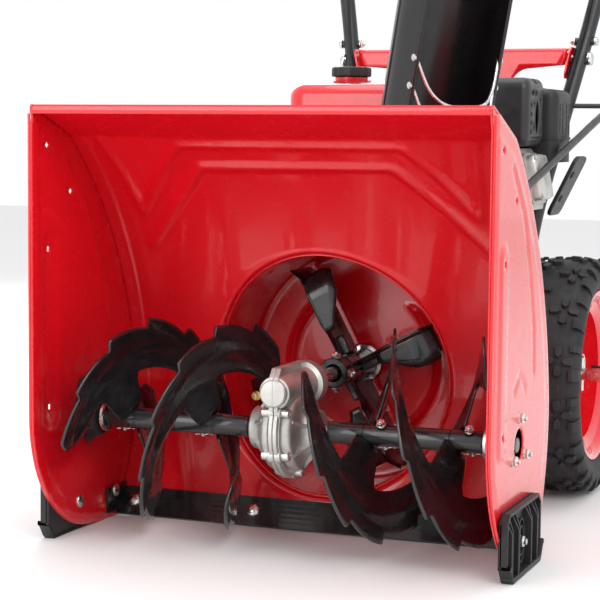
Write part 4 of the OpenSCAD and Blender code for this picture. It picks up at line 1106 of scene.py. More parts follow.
def skid_shoes():
    x0 = HALF_W + 0.4
    for side, name in ((1, "skid_shoe_left"), (-1, "skid_shoe_right")):
        b = Build()
        outer = [(48, 22), (48, 76), (60, 87), (202, 87), (214, 76), (214, 22), (196, 2), (66, 2)]
        slot = arc2((131, 50), 4.8, 0, 180, 2) + arc2((131, 30), 4.8, 180, 360, 2)
        points, faces = plate_mesh(joined(*[line2(p, q, 6) for p,
                                            q in zip(outer, outer[1:] + outer[:1])])[:-1],
                                   [slot], 7)
        face = Build()
        face.add([(side * (x0 + 4), y, z) for y, z in points],
                 [f if side > 0 else tuple(reversed(f)) for f in faces])
        face.make(name.replace("shoe", "plate"), PLASTIC, name.replace("_shoe", ""), [name], recalc=False,
                  solid=3.8)
        def curve(y):
            if y < 66:
                return 20 - 20 * soft_step((y - 48) / 18)
            return 20 * soft_step((y - 196) / 18)
        ys = [48 + 166 * i / 40 for i in range(41)]
        rows = [[(side * x, y, max(0.2, curve(y)) + h) for y in ys] for x, h in
                ((x0 + 0.2, 0), (x0 + 15, 0), (x0 + 16.4, 1.2), (x0 + 16.4, 5), (x0 + 15.4, 6.5),
                 (x0 + 0.2, 6.5))]
        b.grid(rows, wrap=True)
        rim = [(48, 24), (48, 76), (60, 87), (202, 87), (214, 76), (214, 24)]
        for (ya, za), (yb, zb) in zip(rim, rim[1:]):
            d = Vector((yb - ya, zb - za)).normalized()
            n = Vector((-d.y, d.x)) * -4.5
            rings = [[(side * x, ya, za), (side * x, yb, zb), (side * x, yb + n.x, zb + n.y),
                      (side * x, ya + n.x, za + n.y)] for x in (x0 + 2, x0 + 12)]
            b.loft(rings)
        for k, y in enumerate((60, 76, 92, 108, 154, 168, 184, 200)):
            tall = 15 if k % 2 == 0 else 12
            b.loft([[(side * (x0 + 3), y + dy, 5), (side * (x0 + tall), y + dy, 5),
                     (side * (x0 + tall), y + dy, 62), (side * (x0 + 5), y + dy, 82),
                     (side * (x0 + 3), y + dy, 82)] for dy in (-1.7, 1.7)])
        for r in (13, 19):
            ring = [(131 + r * math.cos(2 * math.pi * k / 40), 40 + 1.5 * r * math.sin(2 * math.pi * k / 40))
                    for k in range(40)]
            inner = [(131 + (r - 2.4) * math.cos(2 * math.pi * k / 40),
                      40 + (1.5 * r - 2.4) * math.sin(2 * math.pi * k / 40)) for k in range(40)]
            b.grid([[(side * x, y, z) for y, z in loop] for x, loop in
                    ((x0 + 3, ring), (x0 + 8, ring), (x0 + 8, inner), (x0 + 3, inner))], closed=True)
        b.make(name.replace("shoe", "runner"), PLASTIC, name.replace("_shoe", ""), [name], bevel=0.5,
               sharp=32)


bolts()
auger(1, 129, "auger_left")
auger(-1, 40, "auger_right")
shear_pins()
gearbox()
impeller()
bearings()
skid_shoes()


# ---------------------------------------------------------------- wheels
def tyre_profile():
    half = [(12.5, 128.4), (8, 130), (6, 134), (2.5, 142), (0.4, 151), (1.6, 159), (6, 165.5), (13, 169.2),
            (24, 171.2), (38, 172.4), (53, 173)]
    return half + [(TYRE_W - t, r) for t, r in reversed(half[:-1])]


def lug(b, origin_x, phi, outline, height, base_r, side, drop=0.0):
    """Tread block over a (round, across) outline, following the crown of the tyre."""
    rings = []
    cu = sum(p[0] for p in outline) / len(outline)
    cv = sum(p[1] for p in outline) / len(outline)
    for rise, k in ((-3.0, 1.0), (height - 1.2, 0.93), (height, 0.84)):
        ring = []
        for u, v in outline:
            u2, v2 = cu + (u - cu) * k, cv + (v - cv) * k
            r = base_r + rise - drop * abs(v2) ** 2 / 400
            a = phi + u2 / 172
            ring.append((side * (origin_x + v2), AXLE_Y + r * math.cos(a), WHEEL_R + r * math.sin(a)))
        rings.append(ring)
    b.loft(rings)


def turned_points(points, deg):
    a = math.radians(deg)
    return [(u * math.cos(a) - v * math.sin(a), u * math.sin(a) + v * math.cos(a)) for u, v in points]


def tyres():
    inner_x = TYRE_OUT - TYRE_W
    mid = inner_x + TYRE_W / 2
    arrow = [(4.2, 0), (8.5, -5.2), (20, -6.2), (22.5, 0), (20, 6.2), (8.5, 5.2)]
    for side, word in ((1, "left"), (-1, "right")):
        b = Build()
        prof = tyre_profile() + [(TYRE_W - 16, 133), (TYRE_W - 9, 150), (TYRE_W - 18, 163), (18, 163),
                                 (9, 150),
                                 (16, 133)]
        b.turned((side * inner_x, AXLE_Y, WHEEL_R), (side, 0, 0), prof, 96, closed_profile=True)
        b.make("tyre_carcass_" + word, TYRE, "wheels", ["tyres"], sharp=60)
        lugs = Build()
        stars = 14
        for k in range(stars):
            phi = 2 * math.pi * k / stars
            for j, v0 in enumerate((-23, 23)):
                p = phi + (math.pi / stars if j else 0)
                for deg in (0, 90, 180, 270):
                    shape = [(u, v0 + v) for u, v in turned_points(arrow, deg)]
                    lug(lugs, mid, p, shape, 7.6, 171.6, side, 1.2)
                q = p + math.pi / stars
                star = []
                for m in range(8):
                    a = math.pi / 4 * m
                    r = 7.5 if m % 2 == 0 else 2.6
                    star.append((r * math.cos(a), v0 + r * math.sin(a)))
                lug(lugs, mid, q, star, 1.6, 172.0, side, 1.2)
        for k in range(2 * stars):
            phi = math.pi * k / stars
            for edge in (-1, 1):
                long = 8.5 if k % 2 else 5.5
                foot = 150 if k % 2 else 156
                rings = []
                for r, across in ((176.5, 39), (176.0, 45), (169.5, 50.5), (160, 53.0), (foot, 52.8)):
                    depth = 4.5
                    ring = []
                    for u, d in ((-long, 0), (long, 0), (long * 0.94, -depth), (-long * 0.94, -depth)):
                        a = phi + math.pi / (2 * stars) + u / 172
                        rr = r + (d if across < 50 else 0)
                        x = mid + edge * (across + (d if across >= 50 else 0))
                        ring.append((side * x, AXLE_Y + rr * math.cos(a), WHEEL_R + rr * math.sin(a)))
                    rings.append(ring)
                lugs.loft(rings)
        lugs.make("tyre_tread_" + word, TYRE, "wheels", ["tyres"], bevel=0.5, sharp=30)


def wheel_rims():
    for side, word in ((1, "left"), (-1, "right")):
        b = Build()
        o = (side * (TYRE_OUT - TYRE_W), AXLE_Y, WHEEL_R)
        hub = [(6, 9.7), (6, 17), (8, 18.6), (64, 18.6), (66, 17), (66, 9.7)]
        b.turned(o, (side, 0, 0), hub, 40, closed_profile=True)
        disc = [(46, 18), (43, 24), (38, 30), (34, 40), (33, 52), (35, 64), (39, 74), (40, 84), (38, 94),
                (36, 98)]
        barrel = [(8.4, 128), (9.2, 122), (13, 118), (20, 114.5), (24, 104), (28, 99), (78, 99), (82, 104),
                  (86, 114.5),
                  (93, 118), (96.8, 122), (97.6, 128)]
        b.turned(o, (side, 0, 0), disc + [(a + 2.2, r) for a, r in reversed(disc)], 96, closed_profile=True)
        b.turned(o, (side, 0, 0), barrel + [(a, r - 2.2) for a, r in reversed(barrel)], 96,
                 closed_profile=True)
        for k in range(5):
            a = 2 * math.pi * k / 5
            er = Vector((0, math.cos(a), math.sin(a)))
            et = Vector((0, -math.sin(a), math.cos(a)))
            c = Vector(o)
            rings = []
            for r in range(38, 97, 6):
                h = 5.5 * math.sin(math.pi * min(1, (r - 32) / 70))
                w = 9 + 3 * math.sin(math.pi * (r - 38) / 58)
                base = 33 + 7 * soft_step((r - 56) / 26)
                ring = []
                for m in range(9):
                    q = math.pi * m / 8
                    ring.append(c + Vector((side * (base + 1.5 + h * math.sin(q)), 0, 0)) + er * r
                                + et * (w * math.cos(q)))
                rings.append(ring)
            b.loft(rings)
        b.make("wheel_rim_" + word, RED, "wheels", ["wheel_rims"], sharp=40)
        v = Build()
        v.turned((side * (TYRE_OUT - TYRE_W + 74), AXLE_Y + 88, WHEEL_R), (side, -0.25, 0),
                 [(-4, 3.2), (6, 3.2), (7, 2.6), (16, 2.6), (16, 3.4), (24, 3.4), (25, 2.6)], 16)
        v.make("valve_stem_" + word, RUBBER, "wheels", ["wheel_rims"])


# ---------------------------------------------------------------- rounded housings
def rounded_rect(x0, x1, y0, y1, r, n=6):
    out = []
    for cx, cy, a0 in ((x1 - r, y1 - r, 0), (x0 + r, y1 - r, 90), (x0 + r, y0 + r, 180),
                       (x1 - r, y0 + r, 270)):
        for k in range(n + 1):
            a = math.radians(a0 + 90 * k / n)
            out.append((cx + r * math.cos(a), cy + r * math.sin(a)))
    return out


def pillow(b, lo, hi, corner, edge, crown=0.0, open_bottom=False, seam=None):
    """Rounded housing standing on its bottom, with crowned top and an optional seam line."""
    (x0, y0, z0), (x1, y1, z1) = lo, hi
    levels = [] if open_bottom else [(z0, edge), (z0 + edge * 0.3, edge * 0.3), (z0 + edge, 0)]
    if open_bottom:
        levels = [(z0, 0)]
    if seam:
        levels += [(seam - 2.4, 0), (seam - 1.8, -1.6), (seam + 1.8, -1.6), (seam + 2.4, 0)]
    top = z1 - edge - crown
    levels += [(top, 0)]
    for k in range(1, 7):
        a = math.pi / 2 * k / 6
        levels.append((top + edge * math.sin(a), edge * (1 - math.cos(a))))
    rings = []
    for z, inset in levels:
        r = max(1.0, corner - inset)
        rings.append([(x, y, z) for x, y in rounded_rect(x0 + inset, x1 - inset, y0 + inset, y1 - inset, r)])
    n = len(rings[0])
    cx, cy = (x0 + x1) / 2, (y0 + y1) / 2
    base = rings[-1]
    for f in (0.85, 0.65, 0.4, 0.15):
        z = z1 - crown * f * f
        rings.append([(cx + (x - cx) * f, cy + (y - cy) * f, z) for x, y, _ in base])
    if open_bottom:
        b.grid(rings, closed=True)
        start = len(b.v) - n
        b.f.append(tuple(range(start, start + n)))
    else:
        b.loft(rings)


# ---------------------------------------------------------------- engine
def fuel_tank():
    b = Build()
    pillow(b, (-174, 546, 522), (40, 688, 622), 30, 22, crown=6, seam=566)
    b.turned((-100, 640, 612), (0, 0, 1), [(0, 24), (6, 24), (8, 25.4), (15, 25.4), (16, 24), (16, 20),
                                           (4, 20)], 48)
    b.make("tank_body", RED, "frame", ["fuel_tank"], sharp=45)
    s = Build()
    for x in (-70, 40):
        s.box((x - 10, 600, 500), (x + 10, 650, 524))
    s.make("tank_feet", SATIN, "frame", ["fuel_tank"], bevel=2)
    c = Build()
    rings = []
    for z, k in ((628.4, 0.96), (630, 1.0), (640, 1.0), (642.4, 0.97), (643.2, 0.9)):
        rings.append([(-100 + (30.8 - 1.8 * (0.5 + 0.5 * math.cos(12 * t))) * k * math.cos(t),
                       640 + (30.8 - 1.8 * (0.5 + 0.5 * math.cos(12 * t))) * k * math.sin(t), z)
                      for t in [2 * math.pi * i / 96 for i in range(96)]])
    c.loft(rings)
    c.turned((-100, 640, 620.4), (0, 0, 1), [(0, 19.4), (9, 19.4)], 40)
    c.box((-122, 636, 641), (-78, 644, 643.4))
    c.make("fuel_cap_knob", PLASTIC, "fuel_cap", ["fuel_cap"])


def muffler_guard():
    x0, x1, y0, y1, z0, z1 = 58, 205, 548, 648, 524, 624
    b = Build()
    rows = []
    levels = [(x0, 10), (x0 + 3, 3), (x0 + 10, 0), (x1 - 12, 0)]
    levels += [(x1 - 12 + 12 * math.sin(a), 12 * (1 - math.cos(a)))
               for a in [math.pi / 2 * k / 6 for k in range(1, 7)]]
    for x, inset in levels:
        ring = rounded_rect(y0 + inset, y1 - inset, z0 + inset, z1 - inset, max(4, 16 - inset * 0.6))
        rows.append([(x, y, z) for y, z in ring])
    b.grid(rows, closed=True)
    n = len(rows[0])
    b.f.append(tuple(range(n - 1, -1, -1)))
    b.make("guard_box", SATIN, "frame", ["muffler_guard"], sharp=40)
    outline = rounded_rect(y0 + 12, y1 - 12, z0 + 12, z1 - 12, 9)
    holes = [rounded_rect(571, 584, 598, 606, 2.5, 3), rounded_rect(590, 601, 598, 606, 2.5, 3)]
    holes += [arc2((568.5, z), 4.2, 0, 345, 1.5) for z in (545, 558, 571, 584)]
    holes += [arc2((586, z), 4.0, 0, 345, 1.5) for z in (551, 586)]
    holes.append([(604 + 11 * math.cos(a), 566 + 24 * math.sin(a))
                  for a in [2 * math.pi * k / 28 for k in range(28)]])
    holes += [arc2((624, z), 4.0, 0, 345, 1.5) for z in (545, 592)]
    points, faces = plate_mesh(outline, holes, 7)
    p = Build()
    p.add([(x1, y, z) for y, z in points], faces)
    p.make("guard_grille", SATIN, "frame", ["muffler_guard"], recalc=False, solid=3, sharp=30)
    s = Build()
    strap = [(x, y, z) for x, y, z in ((150, 600, 622.8), (192, 600, 622.8), (200, 600, 621.5),
                                       (204, 600, 616))]
    s.grid([[(x, y - 9, z), (x, y + 9, z)] for x, y, z in strap])
    s.make("guard_strap", SATIN, "frame", ["muffler_guard"], solid=1.2, recalc=False)
    m = Build()
    pillow(m, (76, 560, 532), (192, 634, 608), 18, 14)
    m.turned((130, 600, 508), (0, 0, 1), [(0, 13), (26, 13)], 32)
    m.make("muffler_can", HEAT_STEEL, "frame", ["muffler"], sharp=45)


def engine_shroud():
    b = Build()
    o = (0, 692, CRANK_Z)
    b.turned(o, (0, 1, 0), [(0, 14.5), (0, 96), (2, 103), (7, 108), (14, 110), (72, 110), (78, 108.5),
                            (78, 104),
                            (12, 104), (6, 101), (3.2, 94), (3.2, 14.5)], 96, closed_profile=True)
    for k in range(16):
        a = 2 * math.pi * k / 16
        er = Vector((math.cos(a), 0, math.sin(a)))
        et = Vector((-math.sin(a), 0, math.cos(a))) * 1.6
        c = Vector(o)
        b.loft([[c + Vector((0, y, 0)) + er * r + et * s for y,
                 r in ((14, 108.5), (70, 108.5), (70, 104), (14, 104))]
                for s in (-1, 1)])
    b.make("fan_shroud", PLASTIC, "frame", ["engine_shroud"], sharp=35)
    c = Build()
    pillow(c, (96, 652, 500), (223, 752, 612), 16, 13, crown=2, open_bottom=True, seam=536)
    for y in (672, 690, 714, 732):
        c.loft([[(221.8, y - 3, z), (223.0, y - 1.6, z), (223.0, y + 1.6, z), (221.8, y + 3, z)]
                for z in (545, 588)])
    c.make("cylinder_cowl", PLASTIC, "frame", ["engine_shroud"], sharp=40)
    clip = Build()
    clip.grid([[(x, 668, z), (x, 700, z)] for x, z in ((140, 611.6), (188, 611.6), (202, 609), (210, 604))])
    clip.make("cowl_strap", SATIN, "frame", ["engine_shroud"], solid=1.2, recalc=False)
    s = Build()
    turn = Matrix.Translation((199, 690, 420)) @ Matrix.Rotation(math.radians(26), 4, "Y")
    outline = rounded_rect(0, 70, 0, 100, 12, 5)
    rings = []
    for x, inset in ((0, 1.2), (1.2, 0), (4.8, 0), (6, 1.2)):
        rings.append([turn @ Vector((x, 35 + (y - 35) * (1 - inset / 35), 50 + (z - 50) * (1 - inset / 50)))
                      for y, z in outline])
    s.loft(rings)
    for z in (30, 70):
        s.turned(turn @ Vector((6, 20, z)), turn.to_3x3() @ Vector((1, 0, 0)), [(0, 6), (1, 6), (2.4, 4)], 20)
    s.make("side_shield", PLASTIC, "frame", ["engine_shroud"], sharp=35)


def recoil():
    b = Build()
    o = (0, 770.4, CRANK_Z)
    b.turned(o, (0, 1, 0), [(0, 98), (0, 106), (6, 106), (14, 104), (20, 98), (21.4, 92), (21.6, 74),
                            (26, 70),
                            (29, 64), (29.6, 30), (28, 24), (28, 2), (24, 2), (24, 66), (16, 92), (10, 98)],
             96,
             closed_profile=True)
    for k in range(15):
        a = 2 * math.pi * k / 15
        c = Vector((50 * math.cos(a), 800.4, CRANK_Z + 50 * math.sin(a)))
        er = Vector((math.cos(a), 0, math.sin(a)))
        et = Vector((-math.sin(a), 0, math.cos(a)))
        b.loft([[c + er * u + et * v + Vector((0, y, 0)) for u,
                 v in ((-17, -1.6), (16, -3.4), (16, 3.4), (-17, 1.6))]
                for y in (-3.0, -0.8)])
    pillow(b, (-30, 780, CRANK_Z + 92), (10, 798, CRANK_Z + 124), 6, 4)
    b.make("recoil_cover", PLASTIC, "frame", ["recoil_starter"], sharp=35)
    h = Build()
    rings = []
    for x, r in ((-32, 4), (-31, 6), (-26, 7.4), (-16, 6.4), (-10, 6.0), (-4, 6.4), (6, 7.4), (11, 6),
                 (12, 4)):
        rings.append([(x, 806 + r * 0.92 * math.cos(a), 542 + r * 1.08 * math.sin(a))
                      for a in [2 * math.pi * i / 20 for i in range(20)]])
    h.loft(rings)
    h.make("recoil_grip", RUBBER, "recoil_handle", ["recoil_handle"])


def carburettor():
    b = Build()
    pillow(b, (-184, 566, 372), (-89, 688, 517), 14, 10, crown=2)
    for z in (392, 404, 416):
        b.loft([[(-184.4, y, z - 2), (-182.6, y, z - 3.4), (-182.6, y, z + 3.4), (-184.4, y, z + 2)]
                for y in (578, 676)])
    b.make("carburettor_housing", PLASTIC, "frame", ["carburettor_cover"], sharp=40)
    k = Build()
    rings = []
    for x, r in ((-184.6, 14), (-186, 15), (-195, 14.4), (-198, 13), (-199, 10.5)):
        rings.append([(x, 600 + (r - 0.7 * (0.5 + 0.5 * math.cos(14 * t))) * math.cos(t),
                       476 + (r - 0.7 * (0.5 + 0.5 * math.cos(14 * t))) * math.sin(t))
                      for t in [2 * math.pi * i / 84 for i in range(84)]])
    k.loft(rings)
    k.turned((-172, 600, 476), (-1, 0, 0), [(0, 5.8), (13, 5.8)], 24)
    k.loft([[(x, 600 + y, 476 + z) for y, z in ((-3, -13), (3, -13), (2.2, 13), (-2.2, 13))]
            for x in (-198, -203)])
    k.make("choke_dial", PLASTIC, "choke_knob", ["choke_knob"], sharp=35)


def cylinder():
    """Finned head and the cast crankcase."""
    b = Build()
    turn = Matrix.Translation((160, 606, 468)) @ Matrix.Rotation(math.radians(-12), 4, "Y")
    for i in range(5):
        x = 9 * i
        ring = rounded_rect(-58, 44, -46, 46, 14, 5)
        b.loft([[turn @ Vector((x + dx, y * k, z * k)) for y, z in ring]
                for dx, k in ((0, 0.97), (0.8, 1), (2.6, 1), (3.4, 0.97))])
    core = rounded_rect(-44, 44, -38, 38, 12, 5)
    b.loft([[turn @ Vector((x, y, z)) for y, z in core] for x in (0, 44)])
    b.make("cylinder_fins", ALU, "frame", ["cylinder_head"], sharp=35)
    v = Build()
    cover = rounded_rect(-36, 36, -34, 34, 12, 5)
    v.loft([[turn @ Vector((x, y * k, z * k)) for y, z in cover] for x,
            k in ((43, 1), (54, 1), (58, 0.94), (60, 0.84))])
    for y, z in ((-28, -26), (28, -26), (-28, 26), (28, 26)):
        bolt(v, turn @ Vector((56, y, z)), turn.to_3x3() @ Vector((1, 0, 0)), "hex", 4, 5.5, 3.2, False, 0)
    v.make("valve_cover", ALU, "frame", ["cylinder_head"], sharp=35)
    c = Build()
    pillow(c, (-88, 532, 338), (88, 690, 500), 18, 10)
    base_plate = rounded_rect(-100, 100, 536, 686, 14)
    c.loft([[(x, y, z) for x, y in base_plate] for z in (330.3, 340)])
    c.turned((0, 524, CRANK_Z), (0, 1, 0), [(0, 11), (0, 56), (2, 60), (9, 62)], 64)
    c.turned((-60, 560, 360), (0, -1, 0), [(0, 13), (48, 13), (50, 11)], 32)
    for z in (362, 386, 410, 434, 458):
        c.box((88, 552, z), (91, 672, z + 4))
        c.box((-91, 552, z), (-88, 672, z + 4))
    axis = Vector((math.sin(math.radians(78)), 0, math.cos(math.radians(78))))
    o = Vector((60, 606, 448))
    c.turned(o, axis, [(0, 49), (101.6, 49)], 56)
    for k in range(4):
        t = 52 + 12 * k
        c.turned(o + axis * t, axis, [(0, 49), (0.6, 55), (1.2, 56), (3.2, 56), (3.8, 55), (4.4, 49)], 56)
    c.make("crankcase_casting", ALU, "frame", ["crankcase"], sharp=35)


tyres()
wheel_rims()
fuel_tank()
muffler_guard()
engine_shroud()
recoil()
carburettor()
cylinder()


# ---------------------------------------------------------------- chute
PIVOT_Z = 812.0
PIVOT_U = (PIVOT_Z - RING_Z) * CHUTE_LEAN
CHANNEL_R, CHANNEL_T, CHANNEL_FRONT = 68.0, 3.0, 42.0


def chute_spot(x, y, z):
    """From the chute's own frame, whose opening faces -y, to working millimetres."""
    c, s = math.cos(CHUTE_AIM), math.sin(CHUTE_AIM)
    return Vector((CHUTE_X + x * c - y * s, CHUTE_Y + x * s + y * c, z))


def channel_line(z, r, front):
    """Open section of the channel at a height, from one free edge round the back to the other."""
    lean = (z - RING_Z) * CHUTE_LEAN
    straight = [(r, -front + (front - 2) * k / 5) for k in range(6)]
    arc = [(r * math.cos(a), r * math.sin(a)) for a in [math.pi * k / 36 for k in range(1, 36)]]
    section = straight + arc + [(-x, y) for x, y in reversed(straight)]
    return [(x, y - lean) for x, y in section]


def chute():
    b = Build()
    ring_r, notch = 104.0, 36
    outer, inner = [], []
    steps = notch * 8
    for i in range(steps):
        a = 2 * math.pi * i / steps
        dip = 2.6 * max(0.0, math.cos(a * notch)) ** 0.7
        outer.append(((ring_r - dip) * math.cos(a), (ring_r - dip) * math.sin(a)))
        inner.append((CHANNEL_R * math.cos(a), CHANNEL_R * math.sin(a)))
    loops = [[chute_spot(x, y, z) for x, y in loop] for loop, z in
             ((inner, RING_Z + 0.1), (outer, RING_Z + 0.1), (outer, RING_Z + 6), (inner, RING_Z + 6))]
    b.grid(loops, closed=True, wrap=True)
    b.turned(chute_spot(0, 0, RING_Z + 5), (0, 0, 1), [(0, 78), (3, 73), (6, 71), (34, 71), (38, 73),
                                                       (41, 73),
                                                       (41, CHANNEL_R), (0, CHANNEL_R)], 96,
             closed_profile=True)
    for i in range(12):
        a = 2 * math.pi * i / 12
        d, w = Vector((math.cos(a), math.sin(a))), Vector((-math.sin(a), math.cos(a))) * 1.6
        b.loft([[chute_spot(*(d * r + w * k), z) for r, z in ((70, 456), (97, 456), (97, 458), (74, 478),
                                                              (70, 478))]
                for k in (-1, 1)])
    b.make("chute_ring", CHUTE, "chute", ["chute"], sharp=35)

    wall = Build()
    heights = [RING_Z + 7 + (CHUTE_TOP - RING_Z - 7) * k / 44 for k in range(45)]
    rows = []
    for z in heights:
        rows.append([chute_spot(x, y, z) for x, y in channel_line(z, CHANNEL_R, CHANNEL_FRONT)])
    wall.grid(rows)
    wall.make("chute_channel", CHUTE, "chute", ["chute"], recalc=False, solid=-CHANNEL_T, sharp=40)

    trim = Build()
    for side in (-1, 1):
        edge = []
        for z in heights[::2]:
            lean = (z - RING_Z) * CHUTE_LEAN
            edge.append(chute_spot(side * (CHANNEL_R + 1.5), -CHANNEL_FRONT + 2.6 - lean, z))
        trim.tube(edge, 3.0, 12)
    for deg in (18, 62, 118, 162):
        a = math.radians(deg)
        rib_rows = []
        for z in heights:
            lean = (z - RING_Z) * CHUTE_LEAN
            d = Vector((math.cos(a), math.sin(a)))
            w = Vector((-math.sin(a), math.cos(a))) * 2.2
            ring = []
            for r, k in ((CHANNEL_R + 2.5, -1), (CHANNEL_R + 4.4, -0.5), (CHANNEL_R + 4.4, 0.5),
                         (CHANNEL_R + 2.5, 1)):
                q = d * r + w * k
                ring.append(chute_spot(q.x, q.y - lean, z))
            rib_rows.append(ring)
        trim.loft(rib_rows)
    trim.tube([chute_spot(x, y, CHUTE_TOP - 2.5) for x, y in channel_line(CHUTE_TOP, CHANNEL_R + 1.5,
                                                                          CHANNEL_FRONT)], 2.5, 10)
    trim.make("chute_trim", CHUTE, "chute", ["chute"], sharp=40)

    wires = Build()
    for z in (640, 604):
        front = -CHANNEL_FRONT - (z - RING_Z) * CHUTE_LEAN
        path = smooth_path([chute_spot(-CHANNEL_R - 1, front + 6, z), chute_spot(-54, front - 1, z - 40),
                            chute_spot(-34, front - 8, z - 60), chute_spot(0, front - 9, z - 64),
                            chute_spot(34, front - 8, z - 60), chute_spot(54, front - 1, z - 40),
                            chute_spot(CHANNEL_R + 1, front + 6, z)], 6)
        wires.tube(path, 2.4, 12)
        for side in (-1, 1):
            wires.turned(chute_spot(side * (CHANNEL_R + 1), front + 6, z), chute_spot(side, 0, 0) -
                         chute_spot(0, 0, 0),
                         [(-2, 2.4), (2.4, 2.4), (2.4, 4.6), (5, 4.6), (5.6, 3)], 16)
    wires.make("chute_wires", ZINC, "chute", ["chute"])


def deflector():
    """Visor over the chute's mouth: two cheeks and a curved hood that the same outline makes."""
    cheek = [(4, 778), (8, 800), (10, 830), (18, 862), (36, 900), (66, 934), (108, 956), (150, 964),
             (152, 950),
             (140, 900), (134, 850), (132, 800), (110, 782), (60, 776)]
    loop = [(-u, z) for u, z in cheek]
    hole = arc2((-PIVOT_U, PIVOT_Z), 4.4, 0, 345, 1.6)
    points, faces = plate_mesh(joined(*[line2(p, q, 7) for p, q in zip(loop, loop[1:] + loop[:1])])[:-1],
                               [hole], 9)
    b = Build()
    for side in (-1, 1):
        verts = [chute_spot(side * 74.5, y, z) for y, z in points]
        b.add(verts, [f if side > 0 else tuple(reversed(f)) for f in faces])
    b.make("deflector_cheeks", CHUTE, "deflector", ["deflector"], recalc=False, solid=3, sharp=40)
    hood = smooth_path([(0, y, z) for y, z in loop[1:8]], 5)
    h = Build()
    rows = []
    for k in range(15):
        x = -75.5 + 151 * k / 14
        rows.append([chute_spot(x, p.y, p.z) for p in hood])
    h.grid(rows)
    h.make("deflector_hood", CHUTE, "deflector", ["deflector"], recalc=False, solid=3, sharp=40)
    t = Build()
    for side in (-1, 1):
        t.tube([chute_spot(side * 74.5, p.y, p.z) for p in hood], 2.6, 10)
    for k in (-40, 0, 40):
        t.loft([[chute_spot(k + dx, p.y + 1.0, p.z - 1.0) for dx in (-2, 2)]
                + [chute_spot(k + dx, p.y - 1.6, p.z + 1.6) for dx in (2, -2)] for p in hood[2:-2]])
    t.make("deflector_trim", CHUTE, "deflector", ["deflector"], sharp=40)
    s = Build()
    for side in (-1, 1):
        axis = chute_spot(side, 0, 0) - chute_spot(0, 0, 0)
        s.turned(chute_spot(side * 66, -PIVOT_U, PIVOT_Z), axis, [(0, 3.6), (10, 3.6)], 20)
        bolt(s, chute_spot(side * 76, -PIVOT_U, PIVOT_Z), axis, "hex", 4, 7.5, 4.5, True, 2)
    s.make("deflector_pivots", ZINC, "deflector", ["deflector"])
    k = Build()
    rings = []
    axis = chute_spot(1, 0, 0) - chute_spot(0, 0, 0)
    o = chute_spot(76, -PIVOT_U - 10, PIVOT_Z + 34)
    up = Vector((0, 0, 1))
    w = axis.cross(up)
    for t, k7 in ((0, 0.8), (1.5, 1), (9, 1), (11.5, 0.8)):
        ring = []
        for i in range(70):
            a = 2 * math.pi * i / 70
            r = (15.6 + 1.6 * math.cos(7 * a)) * k7
            ring.append(o + axis * t + (up * math.cos(a) + w * math.sin(a)) * r)
        rings.append(ring)
    k.loft(rings)
    k.make("deflector_knob", PLASTIC, "deflector", ["deflector"], sharp=40)


def chute_crank():
    """Long rod that turns the chute, with its joint, cranked end and grip."""
    worm = Vector((217, 452, 456))
    top = Vector((281, 1250, 690))
    d = (top - worm).normalized()
    knee = top + Vector((0, 8, 92))
    b = Build()

    def corner(a, p, c, size):
        return [p + (a - p).normalized() * size * (1 - t) ** 2 + (c - p).normalized() * size * t * t
                for t in [k / 8 for k in range(9)]]

    path = [worm + d * 12] + corner(worm, top, knee, 24) + corner(top, knee, knee + d * 60, 22) + [knee +
                                                                                                   d * 50]
    b.tube(path, 5.8, 18)
    b.turned(worm + d * 6, d, [(0, 5), (1, 8.6), (3, 9), (24, 9), (26, 7.6), (27, 5.8)], 24)
    b.make("crank_bar", SATIN, "crank_rod", ["crank_rod"])
    j = Build()
    j.turned(worm - Vector((6, 0, 0)), (1, 0, 0), [(0, 2.6), (12, 2.6)], 14)
    j.turned(worm - Vector((0, 0, 6)), (0, 0, 1), [(0, 2.6), (12, 2.6)], 14)
    j.make("crank_cross", ZINC, "crank_rod", ["crank_rod"])
    g = Build()
    prof = [(24, 6), (24, 12), (26, 14), (30, 14)]
    for k in range(7):
        t = 36 + 10 * k
        prof += [(t, 13.6), (t + 1.5, 12.6), (t + 3.5, 12.6), (t + 5, 13.6)]
    prof += [(104, 14), (108, 13), (110, 10), (110, 0.2)]
    g.turned(knee, d, prof, 36)
    g.make("crank_grip", RUBBER, "crank_rod", ["crank_rod"])
    w = Build()
    w.turned((217, 312, 456), (0, 1, 0), [(0, 5.2), (1, 6), (18, 6), (20, 8), (72, 8), (74, 6), (114, 6),
                                          (115, 8.4),
                                         (116, 9), (130, 9), (132, 8)], 28)
    helix = [Vector((217 + 9.6 * math.cos(a), 338 + 40 * i / 150, 456 + 9.6 * math.sin(a)))
             for i, a in enumerate([2 * math.pi * 5 * k / 150 for k in range(151)])]
    w.tube(helix, 1.9, 8)
    w.make("worm_screw", ZINC, "chute_worm", ["chute_worm"])


# ---------------------------------------------------------------- handlebars and controls
BAR_R = 12.5
BAR_LOW, BAR_BEND, BAR_JOINT = Vector((143, 735, 205)), Vector((143, 840, 402)), Vector((205, 928, 705))
BAR_KNEE, BAR_TURN, BAR_LEVEL = Vector((240, 985, 885)), Vector((262, 1130, 990)), Vector((268, 1270, 996))
MACHINE_LEN = 1455.0
GRIP_R = 17.0
BAR_END = Vector((268, MACHINE_LEN - 1, 950))
GRIP_DIR = (BAR_END - BAR_LEVEL).normalized()
GRIP_RUN = (MACHINE_LEN - GRIP_R - BAR_LEVEL.y) / GRIP_DIR.y
LEVER_PIVOT = Vector((268, 1262, 1022))
PANEL = Matrix.Translation((0, 1000, 916)) @ Matrix.Rotation(math.radians(35.9), 4, "X")


